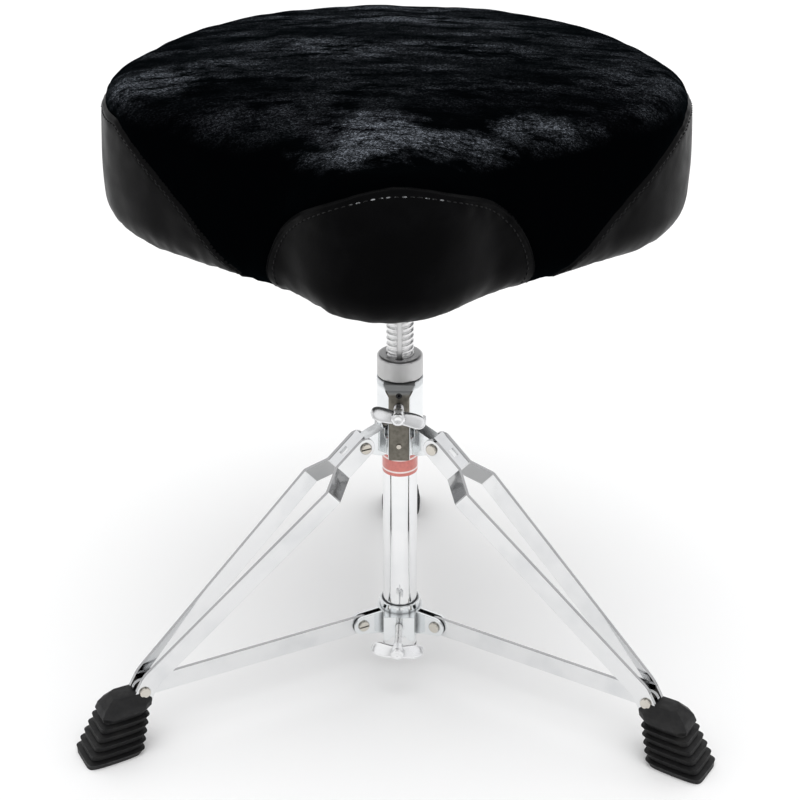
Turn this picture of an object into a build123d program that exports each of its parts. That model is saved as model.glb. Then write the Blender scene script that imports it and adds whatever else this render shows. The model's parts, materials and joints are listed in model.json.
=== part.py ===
"""Folding drum throne: saddle seat on a height screw, carried by a braced strap-leg tripod.

Frame: +Z up, floor at z = 0, origin on the floor under the post, the seat's nose towards -Y and
one leg back along +Y, two degrees round from it. All sizes are millimetres and degrees.
"""

import os
from math import atan2, cos, degrees, hypot, radians, sin, sqrt

from build123d import *

# Fits and gaps
RUN = 0.05  # radial running clearance of a turning or sliding fit
SEAT = 0.02  # radial clearance of a fit that doesn't move
SIDE = 0.2  # side clearance of a strap on its lug

# Post
POST_OD = 28.6
POST_WALL = 1.6
POST_BOTTOM = 24.0
POST_TOP = 279.0
CAP_LIP = 3.0
CAP_LIP_ROUND = 1.2
CAP_DEPTH = 12.0
CAP_WALL = 3.0

# Height screw, its nut and guide plug
ROD_D = 22.0
ROD_BOTTOM = 160.0
ROD_RECESS = 4.0  # from the rod's top to the mount plate
KEYWAY_W = 4.8
KEYWAY_DEPTH = 2.6
SPIGOT_D = 12.0
PLUG_LENGTH = 18.0
NUT_STEP = 0.2  # how far the nut's side stands back from the casting's
NUT_BOTTOM = 281.0
NUT_HEIGHT = 18.3
NUT_TOP_ROUND = 2.4
NUT_LOW_ROUND = 1.2
NUT_SPIGOT = 28.0
NUT_NOTCH_R = 3.4
NUT_NOTCH_DEPTH = 7.0

# Top casting
CAST_WALL = 4.4
CAST_TOP = 280.0
CAST_BOTTOM = 214.0
CAST_STEP = 230.0
CAST_FOOT_WALL = 2.9
RIB_W = 17.6
RIB_ROUND = 2.8
RIB_PROUD = 4.8
RIB_FLARE = 25.5
RIB_FLARE_Z = 275.0
RIB_FLARE_DROP = 3.0
LUG_HALF = 6.3
LUG_R = 5.6
LUG_FOOT = 3.0
LUG_ROOT_TOP = 238.0
CAST_RIM = 1.0
RIVET_D = 4.0
RIVET_PROUD = 1.0
RIVET_Z = 243.0
RIVET_TURN = 38.0
REAR_RIVET_UP = 12.0
RIB_RIVET_Z = 227.0
SET_SCREW_D = 5.0
SET_SCREW_Z = 272.5
SET_SCREW_SUNK = 0.3
SET_SCREW_GAP = 0.1
SET_SCREW_KEY_R = 1.4
SET_SCREW_KEY_DEPTH = 2.5
BAND_BOTTOM = 194.0
BAND_TOP = 212.5
BAND_T = 0.3

# Locking wing screws
TOP_SCREW_D = 8.0
TOP_SCREW_Z = 262.0
TOP_WING_Y = 33.0
LOW_SCREW_D = 6.0
LOW_WING_Y = 52.0
WING_SPAN = 43.0
WING_T = 3.6
WING_DEPTH = 12.0
WING_HUB_D = 11.5
WING_HUB_L = 13.0
WING_BACK = 1.0  # from the hub's back to the wings
WING_BEND = 3.0
WING_HUB_ROUND = 1.2
TOP_WING_BOW = 6.0
LOW_WING_BOW = 2.5
TIP_GAP = 0.3

# Legs, drawn in the plane of one leg: r outwards from the post, z up
LEG_TURNS = {"left": 210.0, "right": 330.0, "rear": 91.9}
PIVOT_R, PIVOT_Z = 36.0, 226.0
KNEE_R, KNEE_Z = 229.7, 62.0
TOE_RUN, TOE_DROP = 23.3, 41.5  # from the knee to the toe
STRAP_W = 16.0
STRAP_T = 3.0
STRAP_BEND = 1.2
KNEE_BEND = 12.0
CRANK_START = 27.0
CRANK_END = 46.6
CRANK_HALF = 22.3
FOOT_HALF = 7.9
PIVOT_PIN_D = 6.0
HEAD_D = 9.4
HEAD_H = 2.0
HEAD_ROUND = 0.45  # share of a head's height that is rounded
HEAD_SLOT = 1.2
NUT_TIP_SHARE = 0.7  # share of a dome nut's height that its screw reaches
BRIDGE_T = 1.6
BRIDGE_RECESS = 0.4
BRIDGE_START = -6.0
BRIDGE_HOLE = (9.5, 16.5)
BRIDGE_HOLE_W = 6.0

# Braces and sliding hub
JOINT_RUN, JOINT_DROP = 6.0, 8.5  # from the knee to the brace's joint
HUB_PIVOT_R, HUB_PIVOT_Z = 37.0, 52.5
BRACE_W = 16.0
BRACE_T = 3.0
BRACE_BUSH_OD = 10.0
BRACE_BUSH_L = 4.4
JOINT_COLLAR_D = 9.0
JOINT_GAP = 0.25
JOINT_SIDE_GAP = 0.5
JOINT_SLOT_GAP = 1.5
JOINT_HEAD_GAP = 0.5
LINER_WALL = 1.0
SLEEVE_WALL = 1.63
SLEEVE_RIM = 0.5
SLEEVE_TOP = 68.4
SLEEVE_BOTTOM = 39.0
YOKE_TOP = 61.5
YOKE_BOTTOM = 38.0
YOKE_WALL = 2.2
YOKE_FRONT_T = 5.5
YOKE_FRONT_W = 26.0
EAR_T = 2.0
EAR_HALF = 4.4
EAR_R = 8.5
NOTCH_W = 19.0
NOTCH_H = 11.0
FOLD_ANGLE = 42.0

# Rubber feet
FOOT_RUN = 37.3  # from the knee to the middle of the foot's underside
FOOT_BASE_LENGTH = 50.0
FOOT_BASE_WIDTH = 39.0
FOOT_LEAN = 0.37
FOOT_TAPER = 0.26
RIB_COUNT = 5
RIB_PITCH = 7.6
RIB_H = 4.9
RIB_GROOVE = 2.6
BLOCK_Z = 36.0
BLOCK_TOP = 54.0
BLOCK_CHAMFER = 4.0
FOOT_CORNER = 5.0

# Seat
SEAT_TURN = 0.5
SEAT_ASIDE = -3.5  # the padded seat sits a little to one side of the post
SEAT_TOP = 531.0
SEAT_THICKNESS = 123.0
TOP_ROUND = 28.0
BOTTOM_ROUND = 28.0
COVER_T = 2.0
BOARD_T = 12.0
HEM_W = 24.0
HEM_CLEAR = 0.5
DUST_T = 1.0
SEAT_NOSE_Y = -241.8  # where the two flanks would meet, ahead of the rounded nose
SEAT_NOSE_R = 69.0
FLANK_X, FLANK_Y = 73.0, -151.0
FLANK_R = 60.0
SIDE_X, SIDE_Y = 250.5, -19.0
SIDE_R = 121.0
REAR_X, REAR_Y = 148.0, 227.0
REAR_R = 212.0
SIDE_SEAM = [(114, 3), (160, 53), (212, 98)]
SIDE_SEAM_Y = 0.0
NOSE_R = 95.0
NOSE_RISE = 8.0

# Seat mount
PLATE_L = 130.0
PLATE_W = 104.0
PLATE_T = 3.0
PLATE_CORNER = 14.0
SCREW_X = 94.0
SCREW_Y = 70.0
SCREW_D = 6.0
SCREW_HEAD_D = 11.0
SCREW_HEAD_H = 4.0
SCREW_SHORT = 2.0  # from a screw's tip to the board's top
TEE_OD = 8.0
TEE_FLANGE_D = 18.0
TEE_FLANGE_T = 1.5
SOCKET_OD = 34.0
SOCKET_LENGTH = 42.0
SOCKET_FLANGE_D = 64.0
SOCKET_FLANGE_T = 4.0
CLAMP_REACH = 32.0
CLAMP_W = 22.0
CLAMP_H = 22.0
CLAMP_SLOT = 2.6
CLAMP_BOLT_D = 8.0
CLAMP_BOLT_OUT = 24.0
CLAMP_SLOT_UP = 4.0  # how far the slot runs above the clamp's ears
CLAMP_HEX = 13.0
CLAMP_HEAD_H = 5.3
CLAMP_NUT_H = 6.5
CLAMP_BOLT_END = 9.0

# Worked out from the values above
POST_ID = POST_OD - 2 * POST_WALL
CAST_OD = POST_OD + 2 * CAST_WALL
CAST_FOOT_OD = POST_OD + 2 * CAST_FOOT_WALL
RIB_FRONT = CAST_OD / 2 + RIB_PROUD
NUT_OD = CAST_OD - 2 * NUT_STEP
LINER_OD = POST_OD + 2 * RUN + 2 * LINER_WALL
SLEEVE_OD = LINER_OD + 2 * SEAT + 2 * SLEEVE_WALL
YOKE_FRONT = SLEEVE_OD / 2 + YOKE_FRONT_T
TOE_R, TOE_Z = KNEE_R + TOE_RUN, KNEE_Z - TOE_DROP
JOINT_R, JOINT_Z = KNEE_R + JOINT_RUN, KNEE_Z - JOINT_DROP
FOOT_BASE_R = KNEE_R + FOOT_RUN
LUG_SIDE = LUG_HALF + SIDE
TOP_HALF = LUG_SIDE + STRAP_T
LEG_ANGLE = atan2(KNEE_Z - PIVOT_Z, KNEE_R - PIVOT_R)
MAIN_LENGTH = hypot(KNEE_R - PIVOT_R, KNEE_Z - PIVOT_Z)
SEAT_BOTTOM = SEAT_TOP - SEAT_THICKNESS
PLATE_TOP = SEAT_BOTTOM + COVER_T - DUST_T
PLATE_BOTTOM = PLATE_TOP - PLATE_T
ROD_TOP = PLATE_BOTTOM - ROD_RECESS


# ---------------------------------------------------------------- shared shapes
def rod_z(diameter, low, high, x=0.0, y=0.0):
    """Upright round bar from height low to height high."""
    return Pos(x, y, (low + high) / 2) * Cylinder(diameter / 2, high - low)


def ring_z(outer, inner, low, high):
    """Upright tube between two heights."""
    return rod_z(outer, low, high) - rod_z(inner, low - 1, high + 1)


def rod_y(diameter, y0, y1, x=0.0, z=0.0):
    """Round bar along Y between y0 and y1."""
    return Pos(x, (y0 + y1) / 2, z) * Rot(90, 0, 0) * Cylinder(diameter / 2, abs(y1 - y0))


def block(x0, x1, y0, y1, z0, z1):
    """Box given by its limits."""
    centre = Pos((x0 + x1) / 2, (y0 + y1) / 2, (z0 + z1) / 2)
    return centre * Box(x1 - x0, y1 - y0, z1 - z0)


def plate_xz(sketch, y0, y1):
    """Extrude a sketch drawn as (r, z) from y0 to y1."""
    return extrude(Plane.XZ.offset(-y1) * sketch, amount=y1 - y0)


def polygon(points):
    """Flat face inside a list of points."""
    return make_face(Polyline(*points, close=True))


def shifted(points, offset):
    """The points of an open line moved sideways by offset, with mitred corners."""
    out = []
    for i, (x, y) in enumerate(points):
        before, after = points[max(i - 1, 0)], points[min(i + 1, len(points) - 1)]
        a1 = atan2(y - before[1], x - before[0]) if i else None
        a2 = atan2(after[1] - y, after[0] - x) if i < len(points) - 1 else a1
        a1 = a2 if a1 is None else a1
        mid, half = (a1 + a2) / 2, (a2 - a1) / 2
        reach = offset / cos(half)
        out.append((x - reach * sin(mid), y + reach * cos(mid)))
    return out


def ribbon(points, width, bend=0.0):
    """Face of a bent strip that follows a line of points, with rounded bends."""
    left, right = shifted(points, width / 2), shifted(points, -width / 2)
    if bend:
        turns = []
        for a, b, c in zip(points, points[1:], points[2:]):
            cross = (b[0] - a[0]) * (c[1] - b[1]) - (b[1] - a[1]) * (c[0] - b[0])
            turns.append(cross > 0)
        left_line = FilletPolyline(*left, radius=[bend if t else bend + width for t in turns])
        right_line = FilletPolyline(*right, radius=[bend + width if t else bend for t in turns])
    else:
        left_line, right_line = Polyline(*left), Polyline(*right)
    ends = [Line(left[0], right[0]), Line(left[-1], right[-1])]
    return make_face([*left_line.edges(), *right_line.edges(), *ends])


def turned(shape, angle):
    """The shape turned about the post."""
    return Rot(0, 0, angle) * shape


def grouped(shapes):
    """Separate solids kept in one node."""
    return Compound(children=[solid for shape in shapes for solid in shape.solids()])


def rounded_screw(diameter, head_d, head_h, y_head, y_tip, r, z, slot=False):
    """Pin along Y with a low round head whose seat is at y_head, and an optional driver slot."""
    side = 1 if y_head > y_tip else -1
    head = rod_y(head_d, y_head, y_head + side * head_h, r, z)
    rim = head.edges().filter_by(GeomType.CIRCLE).sort_by(Axis.Y)[-1 if side > 0 else 0]
    head = fillet(rim, head_h * HEAD_ROUND)
    if slot:
        deep = sorted((y_head + side * head_h * HEAD_ROUND, y_head + side * (head_h + 1)))
        head -= block(r - head_d, r + head_d, *deep, z - HEAD_SLOT / 2, z + HEAD_SLOT / 2)
    return head + rod_y(diameter, y_head, y_tip, r, z)


# ---------------------------------------------------------------- post and casting
def lock_bore(diameter, z):
    """Hole from the front of the post to its axis, for a locking screw."""
    return rod_y(diameter + 2 * RUN, -60, 0, 0, z)


def build_post():
    """Post tube with the hole for the top locking screw."""
    tube = ring_z(POST_OD, POST_ID, POST_BOTTOM, POST_TOP)
    return tube - lock_bore(TOP_SCREW_D, TOP_SCREW_Z)


def build_end_cap():
    """Plug pressed into the foot of the post."""
    lip = rod_z(POST_OD, POST_BOTTOM - CAP_LIP, POST_BOTTOM)
    lip = fillet(lip.edges().group_by(Axis.Z)[0], CAP_LIP_ROUND)
    bore = POST_ID - 2 * CAP_WALL
    return lip + ring_z(POST_ID - 2 * SEAT, bore, POST_BOTTOM, POST_BOTTOM + CAP_DEPTH)


def build_band():
    """Plain coloured band round the post, under the casting."""
    return ring_z(POST_OD + 2 * BAND_T, POST_OD, BAND_BOTTOM, BAND_TOP)


def leg_lug():
    """One lug of the casting, for a leg along +X."""
    neck = polygon([
        (CAST_FOOT_OD / 4, CAST_BOTTOM), (CAST_FOOT_OD / 2 + LUG_FOOT, CAST_BOTTOM),
        (PIVOT_R, PIVOT_Z - LUG_R), (PIVOT_R, PIVOT_Z + LUG_R),
        (CAST_OD / 2, LUG_ROOT_TOP), (CAST_FOOT_OD / 4, LUG_ROOT_TOP),
    ])
    eye = Pos(PIVOT_R, PIVOT_Z) * Circle(LUG_R)
    return plate_xz(neck + eye, -LUG_HALF, LUG_HALF)


def front_rib():
    """Spine down the front of the casting that carries the top locking screw."""
    half = RIB_W / 2
    flare = RIB_FLARE / 2
    sketch = polygon([
        (-half, CAST_BOTTOM), (half, CAST_BOTTOM), (half, RIB_FLARE_Z - RIB_FLARE_DROP),
        (flare, CAST_TOP), (-flare, CAST_TOP), (-half, RIB_FLARE_Z - RIB_FLARE_DROP),
    ])
    rib = plate_xz(sketch, -RIB_FRONT, 0)
    lean = polygon([
        (-RIB_FRONT - 1, RIB_FLARE_Z), (-RIB_FRONT - 1, CAST_TOP + 1),
        (-CAST_OD / 2, CAST_TOP + 1), (-RIB_FRONT, RIB_FLARE_Z),
    ])
    rib -= extrude(Plane.YZ.offset(-CAST_OD) * lean, amount=2 * CAST_OD)
    front = rib.faces().sort_by(Axis.Y)[0]
    return fillet(front.edges().filter_by(Axis.Z), RIB_ROUND)


def rivet(turn, z):
    """Low round rivet head standing on the casting's side."""
    head = rod_y(RIVET_D, -CAST_OD / 2 - RIVET_PROUD, 0, 0, z)
    return turned(head - rod_z(CAST_OD, z - RIVET_D, z + RIVET_D), turn)


def build_casting():
    """Casting clamped round the top of the post, with three leg lugs and the front spine."""
    body = rod_z(CAST_OD, CAST_STEP, CAST_TOP) + rod_z(CAST_FOOT_OD, CAST_BOTTOM, CAST_STEP)
    body = fillet(body.edges().filter_by(GeomType.CIRCLE).group_by(Axis.Z)[-1], CAST_RIM)
    body += front_rib()
    for turn in LEG_TURNS.values():
        body += turned(leg_lug(), turn)
    body -= rod_z(POST_OD + 2 * SEAT, CAST_BOTTOM - 1, CAST_TOP + 1)
    body -= lock_bore(TOP_SCREW_D, TOP_SCREW_Z)
    body -= rod_y(SET_SCREW_D + 2 * SEAT, -RIB_FRONT - 2, -POST_OD / 2, 0, SET_SCREW_Z)
    for turn in LEG_TURNS.values():
        pin = rod_y(PIVOT_PIN_D + 2 * SEAT, -LUG_HALF - 1, LUG_HALF + 1, PIVOT_R, PIVOT_Z)
        body -= turned(pin, turn)
    return body


def build_casting_rivets():
    """Rivet heads that fix the casting to the post."""
    heads = [rivet(turn, RIVET_Z) for turn in (-RIVET_TURN, RIVET_TURN)]
    heads.append(rivet(180, RIVET_Z + REAR_RIVET_UP))
    heads.append(rod_y(RIVET_D, -RIB_FRONT - RIVET_PROUD, -RIB_FRONT, 0, RIB_RIVET_Z))
    return grouped(heads)


def build_set_screw():
    """Socket set screw that fixes the casting to the post."""
    tip = -POST_OD / 2 - SET_SCREW_GAP
    screw = rod_y(SET_SCREW_D, -RIB_FRONT + SET_SCREW_SUNK, tip, 0, SET_SCREW_Z)
    socket = Plane.XZ.offset(RIB_FRONT) * Pos(0, SET_SCREW_Z) * RegularPolygon(SET_SCREW_KEY_R, 6)
    return screw - extrude(socket, amount=-SET_SCREW_KEY_DEPTH)


def build_nut():
    """Threaded nut of the height screw: a collar above the casting, a spigot in the post."""
    collar = rod_z(NUT_OD, NUT_BOTTOM, NUT_BOTTOM + NUT_HEIGHT)
    collar = fillet(collar.edges().group_by(Axis.Z)[-1], NUT_TOP_ROUND)
    collar = fillet(collar.edges().group_by(Axis.Z)[0], NUT_LOW_ROUND)
    nut = collar + rod_z(POST_ID - 2 * SEAT, NUT_BOTTOM - NUT_SPIGOT, NUT_BOTTOM)
    nut -= rod_z(ROD_D + 2 * RUN, 0, SEAT_TOP)
    top = NUT_BOTTOM + NUT_HEIGHT
    nut -= rod_z(2 * NUT_NOTCH_R, top - NUT_NOTCH_DEPTH, top + 1, 0, -ROD_D / 2)
    return nut - lock_bore(TOP_SCREW_D, TOP_SCREW_Z)


def wing_blade(span, thickness, bow, depth, y0):
    """S-shaped pair of wings across the screw, from y0 forwards."""
    half = span / 2
    line = [(-half, bow), (-half * 0.5, bow * 0.55), (half * 0.5, -bow * 0.55), (half, -bow)]
    blade = plate_xz(ribbon(line, thickness, WING_BEND), y0 - depth, y0)
    tips = blade.edges().filter_by(lambda e: abs(e.center().X) > half * 0.9)
    corners = tips.filter_by(lambda e: abs(e.tangent_at(0.5).Y) < 0.1 and e.length < thickness + 1)
    return fillet(corners, depth * 0.3)


def wing_screw(diameter, y_tip, y_wing, z, bow):
    """Locking screw along -Y: shank, round hub and two wings."""
    shank = rod_y(diameter, y_tip, -y_wing, 0, z)
    hub = rod_y(WING_HUB_D, -y_wing - WING_HUB_L, -y_wing, 0, z)
    hub = fillet(hub.edges().filter_by(GeomType.CIRCLE), WING_HUB_ROUND)
    wings = Pos(0, 0, z) * wing_blade(WING_SPAN, WING_T, bow, WING_DEPTH, -y_wing - WING_BACK)
    return shank + hub + wings


# ---------------------------------------------------------------- legs
def leg_line():
    """Centre line of a leg in its own plane."""
    return [(PIVOT_R, PIVOT_Z), (KNEE_R, KNEE_Z), (TOE_R, TOE_Z)]


def strap_outline():
    """Side view of a leg strap with its round end at the pivot."""
    return ribbon(leg_line(), STRAP_W, KNEE_BEND) + Pos(PIVOT_R, PIVOT_Z) * Circle(STRAP_W / 2)


def leg_plane():
    """Plane along the upper leg: x down the leg, y sideways."""
    along = (cos(LEG_ANGLE), 0, sin(LEG_ANGLE))
    return Plane(origin=(PIVOT_R, 0, PIVOT_Z), x_dir=along, z_dir=(-along[2], 0, along[0]))


def build_strap(side):
    """One cranked flat strap of a leg, for a leg along +X; side is -1 or 1."""
    top, crank, low = (half - STRAP_T / 2 for half in (TOP_HALF, CRANK_HALF, FOOT_HALF))
    reach = hypot(TOE_R - KNEE_R, TOE_Z - KNEE_Z) + STRAP_W
    line = [
        (-STRAP_W, top), (CRANK_START, top), (CRANK_END, crank),
        (MAIN_LENGTH, low), (MAIN_LENGTH + reach, low),
    ]
    band = ribbon([(s, side * lat) for s, lat in line], STRAP_T, STRAP_BEND)
    sheet = extrude(leg_plane() * band, amount=5 * STRAP_W, both=True)
    wide = CRANK_HALF + STRAP_T
    strap = plate_xz(strap_outline(), -wide, wide) & sheet
    strap -= rod_y(PIVOT_PIN_D + 2 * RUN, -wide, wide, PIVOT_R, PIVOT_Z)
    return strap - rod_y(PIVOT_PIN_D + 2 * SEAT, -wide, wide, JOINT_R, JOINT_Z)


def build_bridge():
    """Web that joins a leg's two straps above the lug, with its square window."""
    high = STRAP_W / 2 - BRIDGE_RECESS
    plane = leg_plane()
    web = block(BRIDGE_START, CRANK_START, -LUG_SIDE, LUG_SIDE, high - BRIDGE_T, high)
    window = block(*BRIDGE_HOLE, -BRIDGE_HOLE_W / 2, BRIDGE_HOLE_W / 2, 0, STRAP_W)
    return plane.location * (web - window)


def build_joint_rivets():
    """Rivets at the foot end of a leg, with collars that stop just short of the brace."""
    inner = FOOT_HALF - STRAP_T
    rivets = []
    for side in (-1, 1):
        pin = rounded_screw(
            PIVOT_PIN_D, HEAD_D, HEAD_H, side * FOOT_HALF, side * inner, JOINT_R, JOINT_Z
        )
        reach = side * (BRACE_T / 2 + JOINT_GAP)
        rivets.append(pin + rod_y(JOINT_COLLAR_D, side * inner, reach, JOINT_R, JOINT_Z))
    return grouped(rivets)


def foot_slab(z0, z1, inset=0.0):
    """Flat slab of the foot: a rounded rectangle that leans and tapers with its height."""
    length = FOOT_BASE_LENGTH - FOOT_TAPER * z0 - 2 * inset
    width = FOOT_BASE_WIDTH - FOOT_TAPER * z0 - 2 * inset
    outline = RectangleRounded(length, width, FOOT_CORNER)
    return extrude(Pos(FOOT_BASE_R - FOOT_LEAN * z0, 0, z0) * outline, amount=z1 - z0)


def joint_offset(share):
    """Place of the brace's end as seen from the leg, at this share of the fold."""
    turn, rise = brace_fold()
    fold = radians(FOLD_ANGLE) * share
    angle = brace_angle() - turn * share
    dr = HUB_PIVOT_R + brace_length() * cos(angle) - PIVOT_R
    dz = HUB_PIVOT_Z + rise * share + brace_length() * sin(angle) - PIVOT_Z
    return (
        PIVOT_R + dr * cos(fold) - dz * sin(fold),
        PIVOT_Z + dr * sin(fold) + dz * cos(fold),
    )


def brace_slot():
    """Slot for the brace's end, which leaves the joint between the fold's two limits."""
    near, far = joint_offset(0.0), joint_offset(0.5)
    half = BRACE_W / 2 + JOINT_SLOT_GAP
    slot = ribbon([near, far], 2 * half)
    for place in (near, far):
        slot += Pos(*place) * Circle(half)
    thick = BRACE_T / 2 + JOINT_SIDE_GAP
    return plate_xz(slot, -thick, thick)


def build_foot():
    """Stepped rubber foot with the pocket for the leg's straps."""
    foot = foot_slab(0, RIB_H)
    for i in range(1, RIB_COUNT):
        foot += foot_slab(i * RIB_PITCH - RIB_PITCH + RIB_H, i * RIB_PITCH, RIB_GROOVE)
        foot += foot_slab(i * RIB_PITCH, i * RIB_PITCH + RIB_H)
    top = foot_slab(BLOCK_Z, BLOCK_TOP)
    top = chamfer(top.edges().group_by(Axis.Z)[-1], BLOCK_CHAMFER)
    foot += foot_slab(RIB_COUNT * RIB_PITCH - RIB_PITCH + RIB_H, BLOCK_Z, RIB_GROOVE) + top
    foot -= plate_xz(ribbon(leg_line(), STRAP_W, KNEE_BEND), -FOOT_HALF, FOOT_HALF)
    reach = FOOT_HALF + HEAD_H + JOINT_HEAD_GAP
    foot -= rod_y(HEAD_D + 2 * JOINT_HEAD_GAP, -reach, reach, JOINT_R, JOINT_Z)
    return foot - brace_slot()


# ---------------------------------------------------------------- braces and hub
def brace_length():
    """Distance between a brace's two pivots."""
    return hypot(JOINT_R - HUB_PIVOT_R, JOINT_Z - HUB_PIVOT_Z)


def brace_angle():
    """Slope of a brace at rest, in radians."""
    return atan2(JOINT_Z - HUB_PIVOT_Z, JOINT_R - HUB_PIVOT_R)


def brace_fold():
    """Turn of a brace in radians, and rise of the hub, from open to folded."""
    reach = hypot(JOINT_R - PIVOT_R, JOINT_Z - PIVOT_Z)
    angle = atan2(JOINT_Z - PIVOT_Z, JOINT_R - PIVOT_R) - radians(FOLD_ANGLE)
    r, z = PIVOT_R + reach * cos(angle), PIVOT_Z + reach * sin(angle)
    dr = r - HUB_PIVOT_R
    drop = sqrt(brace_length() ** 2 - dr**2)
    return brace_angle() + atan2(drop, dr), z + drop - HUB_PIVOT_Z


def build_brace():
    """Flat brace along +X with a round eye at each end."""
    ends = [(HUB_PIVOT_R, HUB_PIVOT_Z), (JOINT_R, JOINT_Z)]
    outline = ribbon(ends, BRACE_W)
    for r, z in ends:
        outline += Pos(r, z) * Circle(BRACE_W / 2)
    brace = plate_xz(outline, -BRACE_T / 2, BRACE_T / 2)
    for r, z in ends:
        brace -= rod_y(BRACE_BUSH_OD + 2 * SEAT, -BRACE_T, BRACE_T, r, z)
    return brace


def build_brace_bushes():
    """Bushes in a brace's two eyes."""
    sizes = [(HUB_PIVOT_R, HUB_PIVOT_Z, BRACE_BUSH_L / 2), (JOINT_R, JOINT_Z, BRACE_T / 2)]
    bushes = []
    for r, z, half in sizes:
        bush = rod_y(BRACE_BUSH_OD, -half, half, r, z)
        bushes.append(bush - rod_y(PIVOT_PIN_D + 2 * RUN, -half - 1, half + 1, r, z))
    return grouped(bushes)


def build_liner():
    """Nylon liner that slides on the post."""
    liner = ring_z(LINER_OD, POST_OD + 2 * RUN, SLEEVE_BOTTOM, SLEEVE_TOP)
    return liner - lock_bore(LOW_SCREW_D, HUB_PIVOT_Z)


def build_sleeve():
    """Steel sleeve of the sliding hub."""
    sleeve = ring_z(SLEEVE_OD, LINER_OD + 2 * SEAT, SLEEVE_BOTTOM, SLEEVE_TOP)
    rim = sleeve.edges().filter_by(GeomType.CIRCLE).sort_by(lambda e: e.center().Z + e.radius)[-1]
    sleeve = fillet(rim, SLEEVE_RIM)
    return sleeve - lock_bore(LOW_SCREW_D, HUB_PIVOT_Z)


def hub_ears():
    """Pair of ears for one brace along +X."""
    outline = polygon([
        (SLEEVE_OD / 4, YOKE_BOTTOM), (HUB_PIVOT_R, HUB_PIVOT_Z - EAR_R),
        (HUB_PIVOT_R, HUB_PIVOT_Z + EAR_R), (SLEEVE_OD / 4, YOKE_TOP),
    ]) + Pos(HUB_PIVOT_R, HUB_PIVOT_Z) * Circle(EAR_R)
    ears = plate_xz(outline, -EAR_HALF, EAR_HALF)
    start = SLEEVE_OD / 2 + YOKE_WALL
    gap = EAR_HALF - EAR_T
    return ears - block(start, 2 * HUB_PIVOT_R, -gap, gap, 0, YOKE_TOP + EAR_R)


def build_yoke():
    """Pressed yoke of the sliding hub: three pairs of ears and a flat front plate."""
    yoke = rod_z(SLEEVE_OD + 2 * YOKE_WALL, YOKE_BOTTOM, YOKE_TOP)
    half = YOKE_FRONT_W / 2
    front = block(-half, half, -YOKE_FRONT, 0, YOKE_BOTTOM, YOKE_TOP)
    notch = polygon([
        (-NOTCH_W / 2, YOKE_BOTTOM - 1), (NOTCH_W / 2, YOKE_BOTTOM - 1),
        (0, YOKE_BOTTOM + NOTCH_H),
    ])
    yoke += front
    for turn in LEG_TURNS.values():
        yoke += turned(hub_ears(), turn)
    yoke -= plate_xz(notch, -YOKE_FRONT - 1, -SLEEVE_OD / 2)
    yoke -= rod_z(SLEEVE_OD + 2 * SEAT, 0, YOKE_TOP + 1)
    yoke -= lock_bore(LOW_SCREW_D, HUB_PIVOT_Z)
    for turn in LEG_TURNS.values():
        pin = rod_y(PIVOT_PIN_D + 2 * SEAT, -EAR_HALF - 1, EAR_HALF + 1, HUB_PIVOT_R, HUB_PIVOT_Z)
        yoke -= turned(pin, turn)
    return yoke


def pivot_set(half, r, z):
    """Slotted pivot screws of the three legs or braces, and the dome nuts on their far ends."""
    screws, nuts = [], []
    seat = half + SIDE / 2
    tip = -seat - HEAD_H * NUT_TIP_SHARE
    nut = rod_y(HEAD_D, -seat - HEAD_H, -seat, r, z)
    nut = fillet(nut.edges().filter_by(GeomType.CIRCLE).sort_by(Axis.Y)[0], HEAD_H * HEAD_ROUND)
    nut -= rod_y(PIVOT_PIN_D + 2 * SEAT, tip - SEAT, 0, r, z)
    screw = rounded_screw(PIVOT_PIN_D, HEAD_D, HEAD_H, seat, tip, r, z, slot=True)
    for turn in LEG_TURNS.values():
        screws.append(turned(screw, turn))
        nuts.append(turned(nut, turn))
    return grouped(screws), grouped(nuts)


# ---------------------------------------------------------------- height screw
def build_rod():
    """Height screw with its keyway and the spigot that carries the guide plug."""
    rod = rod_z(ROD_D, ROD_BOTTOM, ROD_TOP)
    deep = ROD_D / 2 - KEYWAY_DEPTH
    rod -= block(-KEYWAY_W / 2, KEYWAY_W / 2, -ROD_D, -deep, ROD_BOTTOM - 1, ROD_TOP + 1)
    return rod + rod_z(SPIGOT_D, ROD_BOTTOM - PLUG_LENGTH, ROD_BOTTOM)


def build_plug():
    """Nylon plug that guides the foot of the height screw inside the post."""
    top = ROD_BOTTOM - RUN
    return ring_z(POST_ID - 2 * RUN, SPIGOT_D + 2 * RUN, top - PLUG_LENGTH, top)


# ---------------------------------------------------------------- seat
def seat_face(inset, z):
    """Face inside the seat's outline, moved inwards by inset, at height z."""
    half = [
        ((0, SEAT_NOSE_Y), SEAT_NOSE_R), ((FLANK_X, FLANK_Y), FLANK_R),
        ((SIDE_X, SIDE_Y), SIDE_R), ((REAR_X, REAR_Y), REAR_R),
    ]
    corners = half + [((-x, y), radius) for (x, y), radius in reversed(half[1:])]
    points, radii = zip(*corners)
    face = make_face(FilletPolyline(*points, radius=list(radii), close=True))
    return Pos(SEAT_ASIDE, 0, z) * (offset(face, -inset) if inset else face)


def seat_body(skin):
    """Closed body of the padded seat, skin under its outer face."""
    low, high = SEAT_BOTTOM + skin, SEAT_TOP - skin
    body = extrude(seat_face(skin, low), amount=high - low)
    body = fillet(body.edges().group_by(Axis.Z)[-1], TOP_ROUND - skin)
    return fillet(body.edges().group_by(Axis.Z)[0], BOTTOM_ROUND - skin)


def outline_prism(inset, low, high):
    """Upright prism over the seat's outline."""
    return extrude(seat_face(inset, low), amount=high - low)


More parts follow.
